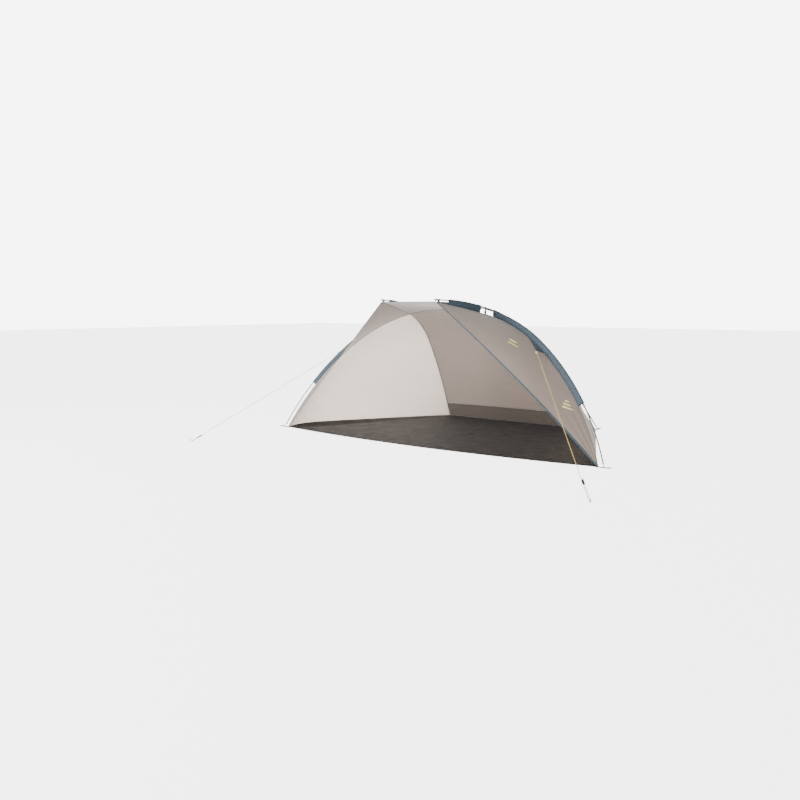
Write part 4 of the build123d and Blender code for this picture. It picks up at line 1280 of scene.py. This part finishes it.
class SHELTER_OT_gussets(bpy.types.Operator):
    """Blue gussets that carry the guy rings"""

    bl_idname = "shelter.gussets"
    bl_label = "Gussets"

    def execute(self, context):
        s, colours = settings(context)
        shelter = Shelter(s)
        pull, root, upper, lower = pull_direction(shelter)
        corner = root + pull * s.gusset_drop
        top_along = shelter.hoop_seam_at(s.gusset_top)
        low_along = shelter.hoop_seam_at(s.gusset_bottom)
        blue = cloth_material("Sleeve cloth", colours.blue, crease=0.035)

        def surface(row, column):
            seam = shelter.hoop.at(top_along + (low_along - top_along) * row)
            depth = GUSSET_TUCK * 4 * column * (1 - column) * (1 - 4 * row * (1 - row))
            return seam.lerp(corner, column) + (root - corner).normalized() * depth

        def relief(row, column, point):
            fan = noise.noise(Vector((row * 9, 0, 61.0)))
            return GUSSET_FAN * fan * sin(pi * column)

        for side in ("left", "right"):
            sheet = ClothSheet(f"{side}_gusset_cloth", surface, 40, 24, INSIDE, side == "right")
            sheet.mark_edges(lambda row, column: min(row, 1 - row) * (1 - column) * GUSSET_WIDTH)
            sheet.relieve(relief)
            sheet.share_uv(GUSSET_WIDTH, GUSSET_DEPTH)
            piece = sheet.finish(blue, SEWN_LAYERS * s.cloth_thickness, TIP_MERGE)
            stand_in(f"{side}_gusset")
        return {"FINISHED"}


# ---------------------------------------------------------------- tapes and seam bindings
class SHELTER_OT_tapes(bpy.types.Operator):
    """Bound front edges, the roof's front binding and the bindings inside the seams"""

    bl_idname = "shelter.tapes"
    bl_label = "Tapes and bindings"

    def execute(self, context):
        s, colours = settings(context)
        shelter = Shelter(s)
        tape = cloth_material("Edge tape", colours.tape, threads=1200.0, crease=0.03, stitched=False)
        binding = cloth_material("Seam binding", colours.binding, threads=1200.0, crease=0.03, stitched=False)
        for side, turn in (("left", lambda p: p), ("right", mirrored)):
            line = lambda share: turn(shelter.front_edge(0.004 + 0.992 * share))
            across = lambda share: turn(self.towards_seam(shelter, 0.1 + 0.9 * share))
            half = s.tape_width / 2
            piece = banded_tube(f"{side}_front_binding", line, across, half, TAPE_THICK, 140, tape)
            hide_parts(f"{side}_front_tape")
        line = lambda share: shelter.brow_edge(0.006 + 0.988 * share)
        across = lambda share: shelter.crown_seam(share) - shelter.brow_edge(share)
        piece = banded_tube("brow_binding", line, across, BROW_HALF, BROW_THICK, 60, tape)
        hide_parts("brow_tape")
        self.inside_bindings(shelter, binding)
        return {"FINISHED"}

    def towards_seam(self, shelter, share):
        return shelter.leg_seam(share) - shelter.front_edge(share)

    def inside_bindings(self, shelter, material):
        """Dark bindings on the inside of the seams."""
        hoop, side = shelter.hoop, shelter.side
        under_hoop = lambda along: hoop.at(along) - hoop.outward(along) * BINDING_INSET
        under_side = lambda along: side.at(along) - side.outward(along) * BINDING_INSET
        under_brow = lambda along: shelter.brow_seam(along) - side.y_axis * BINDING_INSET
        crossing = shelter.crossing
        runs = [
            ("crown_seam_binding", under_hoop, hoop.across, crossing, hoop.length - crossing, 60, False),
            ("left_leg_seam_binding", under_hoop, hoop.across, 0.01, crossing, 110, False),
            ("right_leg_seam_binding", under_hoop, hoop.across, 0.01, crossing, 110, True),
            ("left_rear_seam_binding", under_side, side.across, 0.01, side.length, 120, False),
            ("right_rear_seam_binding", under_side, side.across, 0.01, side.length, 120, True),
            ("left_brow_seam_binding", under_brow, side.across, 0.02, 1.0, 40, False),
            ("right_brow_seam_binding", under_brow, side.across, 0.02, 1.0, 40, True),
        ]
        for name, under, sideways, start, stop, steps, mirror in runs:
            turn = mirrored if mirror else (lambda p: p)
            line = lambda share: turn(under(start + (stop - start) * share))
            across = lambda share: turn(sideways)
            piece = banded_tube(name, line, across, BINDING_HALF, BINDING_THICK, steps, material, 10)


# ---------------------------------------------------------------- printed marks
class SHELTER_OT_marks(bpy.types.Operator):
    """Two plain printed marks on the right wing"""

    bl_idname = "shelter.marks"
    bl_label = "Printed marks"

    def execute(self, context):
        s, colours = settings(context)
        wing = bpy.data.objects["right_wing_cloth"]
        tree = BVHTree.FromObject(wing, context.evaluated_depsgraph_get())
        ink = hard_material("Mark ink", colours.mark, roughness=(0.5, 0.65), variation=0.05, scale=200.0)
        marks = (("upper", UPPER_MARK, UPPER_TILT, UPPER_BARS), ("lower", LOWER_MARK, LOWER_TILT, LOWER_BARS))
        for label, centre, tilt, bars in marks:
            for index, (lift, width, height) in enumerate(bars):
                self.bar(f"{label}_mark_{index + 1}", tree, centre, tilt, lift, width, height, ink)
        return {"FINISHED"}

    def bar(self, name, tree, centre, tilt, lift, width, height, material):
        """Thin bar with round ends, laid on the cloth."""
        spot, normal, _, _ = tree.find_nearest(centre)
        normal = -normal if normal.z < 0 else normal
        along = (Vector((cos(tilt), 0, sin(tilt))) - normal * normal.x * cos(tilt)).normalized()
        rise = normal.cross(along)
        mesh = bmesh.new()
        bmesh.ops.create_grid(mesh, x_segments=16, y_segments=4, size=0.5)
        for vert in mesh.verts:
            narrow = sqrt(max(0.0, 1 - (2 * abs(vert.co.x)) ** 6))
            up = lift + vert.co.y * height * max(narrow, 0.15)
            target = spot + along * (vert.co.x * width) + rise * up
            point, facing, _, _ = tree.find_nearest(target)
            facing = -facing if facing.dot(normal) < 0 else facing
            vert.co = point + facing * MARK_LIFT
        bmesh.ops.recalc_face_normals(mesh, faces=mesh.faces)
        piece = finish_piece(name, mesh, material, MARK_THICK)


# ---------------------------------------------------------------- finishes of the CAD nodes
class SHELTER_OT_fittings(bpy.types.Operator):
    """Finishes of the poles, ferrules, caps, clips, rings, sliders, webbing and pegs"""

    bl_idname = "shelter.fittings"
    bl_label = "Fittings"

    def execute(self, context):
        _, colours = settings(context)
        finishes = {
            "pole_fibreglass": hard_material("Fibreglass", colours.pole, (0.28, 0.42), scale=18.0),
            "ferrule_steel": hard_material("Ferrule steel", colours.steel, (0.22, 0.38), 1.0, 40.0, 0.1),
            "elastic": hard_material("Shock cord", colours.clip, (0.6, 0.8), scale=400.0, grain=0.5),
            "tip_plastic": hard_material("Tip plastic", colours.tip, (0.38, 0.55), scale=90.0),
            "pin_steel": hard_material("Pin steel", colours.steel, (0.25, 0.4), 1.0, 50.0),
            "webbing": hard_material("Webbing", colours.webbing, (0.7, 0.9), scale=300.0, grain=0.8),
            "clip_plastic": hard_material("Clip plastic", colours.clip, (0.32, 0.5), scale=120.0),
            "ring_white": hard_material(
                "Guy ring plastic", colours.guy_ring, (0.2, 0.32), scale=150.0, variation=0.03
            ),
            "ring_steel": hard_material("Coated ring", colours.ring, (0.3, 0.5), 0.6, 80.0),
            "slider_plastic": hard_material("Slider plastic", colours.clip, (0.35, 0.5), scale=110.0),
            "peg_steel": hard_material("Peg steel", colours.steel, (0.3, 0.5), 1.0, 70.0),
        }
        for part in frame["record"]["subparts"]:
            if part["material_slot"] in finishes:
                paint_node(part["node"], finishes[part["material_slot"]])
        return {"FINISHED"}


# ---------------------------------------------------------------- stage
def place_lamp(name, light, place, target):
    """Put a light in the scene, aimed at a target."""
    lamp = bpy.data.objects.new(name, light)
    lamp.location = place
    lamp.rotation_euler = (Vector(target) - Vector(place)).to_track_quat("-Z", "Y").to_euler()
    bpy.context.scene.collection.objects.link(lamp)


def area_light(name, place, target, width, depth, power):
    light = bpy.data.lights.new(name, "AREA")
    light.shape = "RECTANGLE"
    light.size, light.size_y = width, depth
    light.energy = power
    place_lamp(name, light, place, target)


class SHELTER_OT_stage(bpy.types.Operator):
    """Plain pale floor, soft studio lights and the camera"""

    bl_idname = "shelter.stage"
    bl_label = "Stage"

    def execute(self, context):
        scene = context.scene
        s, colours = settings(context)
        self.camera(scene, s)
        self.floor(colours)
        world = bpy.data.worlds.new("Studio")
        world.use_nodes = True
        tree = world.node_tree
        soft = tree.nodes["Background"]
        soft.inputs["Color"].default_value = WHITE
        soft.inputs["Strength"].default_value = WORLD_LIGHT
        backdrop = node(tree, "ShaderNodeBackground", values={"Color": WHITE, "Strength": BACKDROP})
        seen = tree.nodes.new("ShaderNodeLightPath").outputs["Is Camera Ray"]
        mix_shaders(tree, seen, soft, backdrop, "World Output")
        scene.world = world
        area_light("Key", (-2.2, -5.2, 1.6), (0.1, 0.2, 0.4), 3.2, 1.8, 560.0)
        area_light("Fill", (0.9, -5.6, 1.2), (-0.3, 0.0, 0.35), 3.2, 1.8, 170.0)
        area_light("Top", (-1.0, 1.5, 6.0), (0, 0, 0), 5.0, 5.0, 70.0)
        self.wall_light()
        return {"FINISHED"}

    def wall_light(self):
        """Narrow soft spot through the opening on the left side wall, which is bright in the photo."""
        light = bpy.data.lights.new("Wall", "SPOT")
        light.energy = 1500.0
        light.spot_size, light.spot_blend = radians(27), 0.9
        light.shadow_soft_size = 0.25
        place_lamp("Wall", light, (2.6, -3.3, 0.30), (-0.85, 0.0, 0.36))

    def camera(self, scene, s):
        lens = bpy.data.cameras.new("Camera")
        lens.lens, lens.sensor_width = 36.0, 36.0
        view = bpy.data.objects.new("Camera", lens)
        view.location = Vector((0, s.front_line, 0)) + CAMERA_OFFSET
        view.rotation_euler = (radians(CAMERA_PITCH), 0, radians(CAMERA_YAW))
        scene.collection.objects.link(view)
        scene.camera = view

    def floor(self, colours):
        mesh = bmesh.new()
        bmesh.ops.create_grid(mesh, x_segments=4, y_segments=4, size=FLOOR_HALF)
        bmesh.ops.translate(mesh, verts=mesh.verts, vec=(0, 0, -FLOOR_DROP))
        data = bpy.data.meshes.new("Floor")
        mesh.to_mesh(data)
        mesh.free()
        material, tree, shader = start_material("Studio floor", colours.floor)
        place = node(tree, "ShaderNodeTexCoord").outputs["Object"]
        wear = place_group(tree, "wear", place, Scale=1.5)
        tree.links.new(
            blended(tree, wear.outputs["Shade"], toned(colours.floor, 0.99), toned(colours.floor, 1.01)),
            shader.inputs["Base Color"],
        )
        shader.inputs["Roughness"].default_value = 0.8
        shader.inputs["Specular IOR Level"].default_value = 0.2
        glow = node(tree, "ShaderNodeEmission", values={"Color": WHITE, "Strength": FLOOR_GLOW})
        camera = tree.nodes.new("ShaderNodeLightPath").outputs["Is Camera Ray"]
        mix_shaders(tree, maths(tree, "MULTIPLY", camera, FLOOR_GLOW_SHARE), shader, glow, "Material Output")
        data.materials.append(material)
        floor = bpy.data.objects.new("Floor", data)
        bpy.context.scene.collection.objects.link(floor)


# ---------------------------------------------------------------- panel and registration
OPERATORS = (
    SHELTER_OT_stage,
    SHELTER_OT_guylines,
    SHELTER_OT_wings,
    SHELTER_OT_side_walls,
    SHELTER_OT_roof,
    SHELTER_OT_back,
    SHELTER_OT_groundsheet,
    SHELTER_OT_sleeves,
    SHELTER_OT_gussets,
    SHELTER_OT_tapes,
    SHELTER_OT_marks,
    SHELTER_OT_fittings,
)


class SHELTER_PT_panel(bpy.types.Panel):
    """The shelter's pieces in the sidebar"""

    bl_idname = "SHELTER_PT_panel"
    bl_label = "Shelter"
    bl_space_type = "VIEW_3D"
    bl_region_type = "UI"
    bl_category = "Shelter"

    def draw(self, context):
        for operator in OPERATORS:
            self.layout.operator(operator.bl_idname)
        for label in ShelterSizes.__annotations__:
            self.layout.prop(context.scene.shelter_sizes, label)
        for label in ShelterColours.__annotations__:
            self.layout.prop(context.scene.shelter_colours, label)


CLASSES = (ShelterSizes, ShelterColours, *OPERATORS, SHELTER_PT_panel)


def register():
    for item in CLASSES:
        bpy.utils.register_class(item)
    bpy.types.Scene.shelter_sizes = PointerProperty(type=ShelterSizes)
    bpy.types.Scene.shelter_colours = PointerProperty(type=ShelterColours)


def unregister():
    del bpy.types.Scene.shelter_colours
    del bpy.types.Scene.shelter_sizes
    for item in reversed(CLASSES):
        bpy.utils.unregister_class(item)


def main():
    register()
    bpy.ops.shelter.stage()
    bpy.ops.shelter.guylines()
    bpy.ops.shelter.wings()
    bpy.ops.shelter.side_walls()
    bpy.ops.shelter.roof()
    bpy.ops.shelter.back()
    bpy.ops.shelter.groundsheet()
    bpy.ops.shelter.sleeves()
    bpy.ops.shelter.gussets()
    bpy.ops.shelter.tapes()
    bpy.ops.shelter.marks()
    bpy.ops.shelter.fittings()
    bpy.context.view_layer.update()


if __name__ == "__main__":
    main()
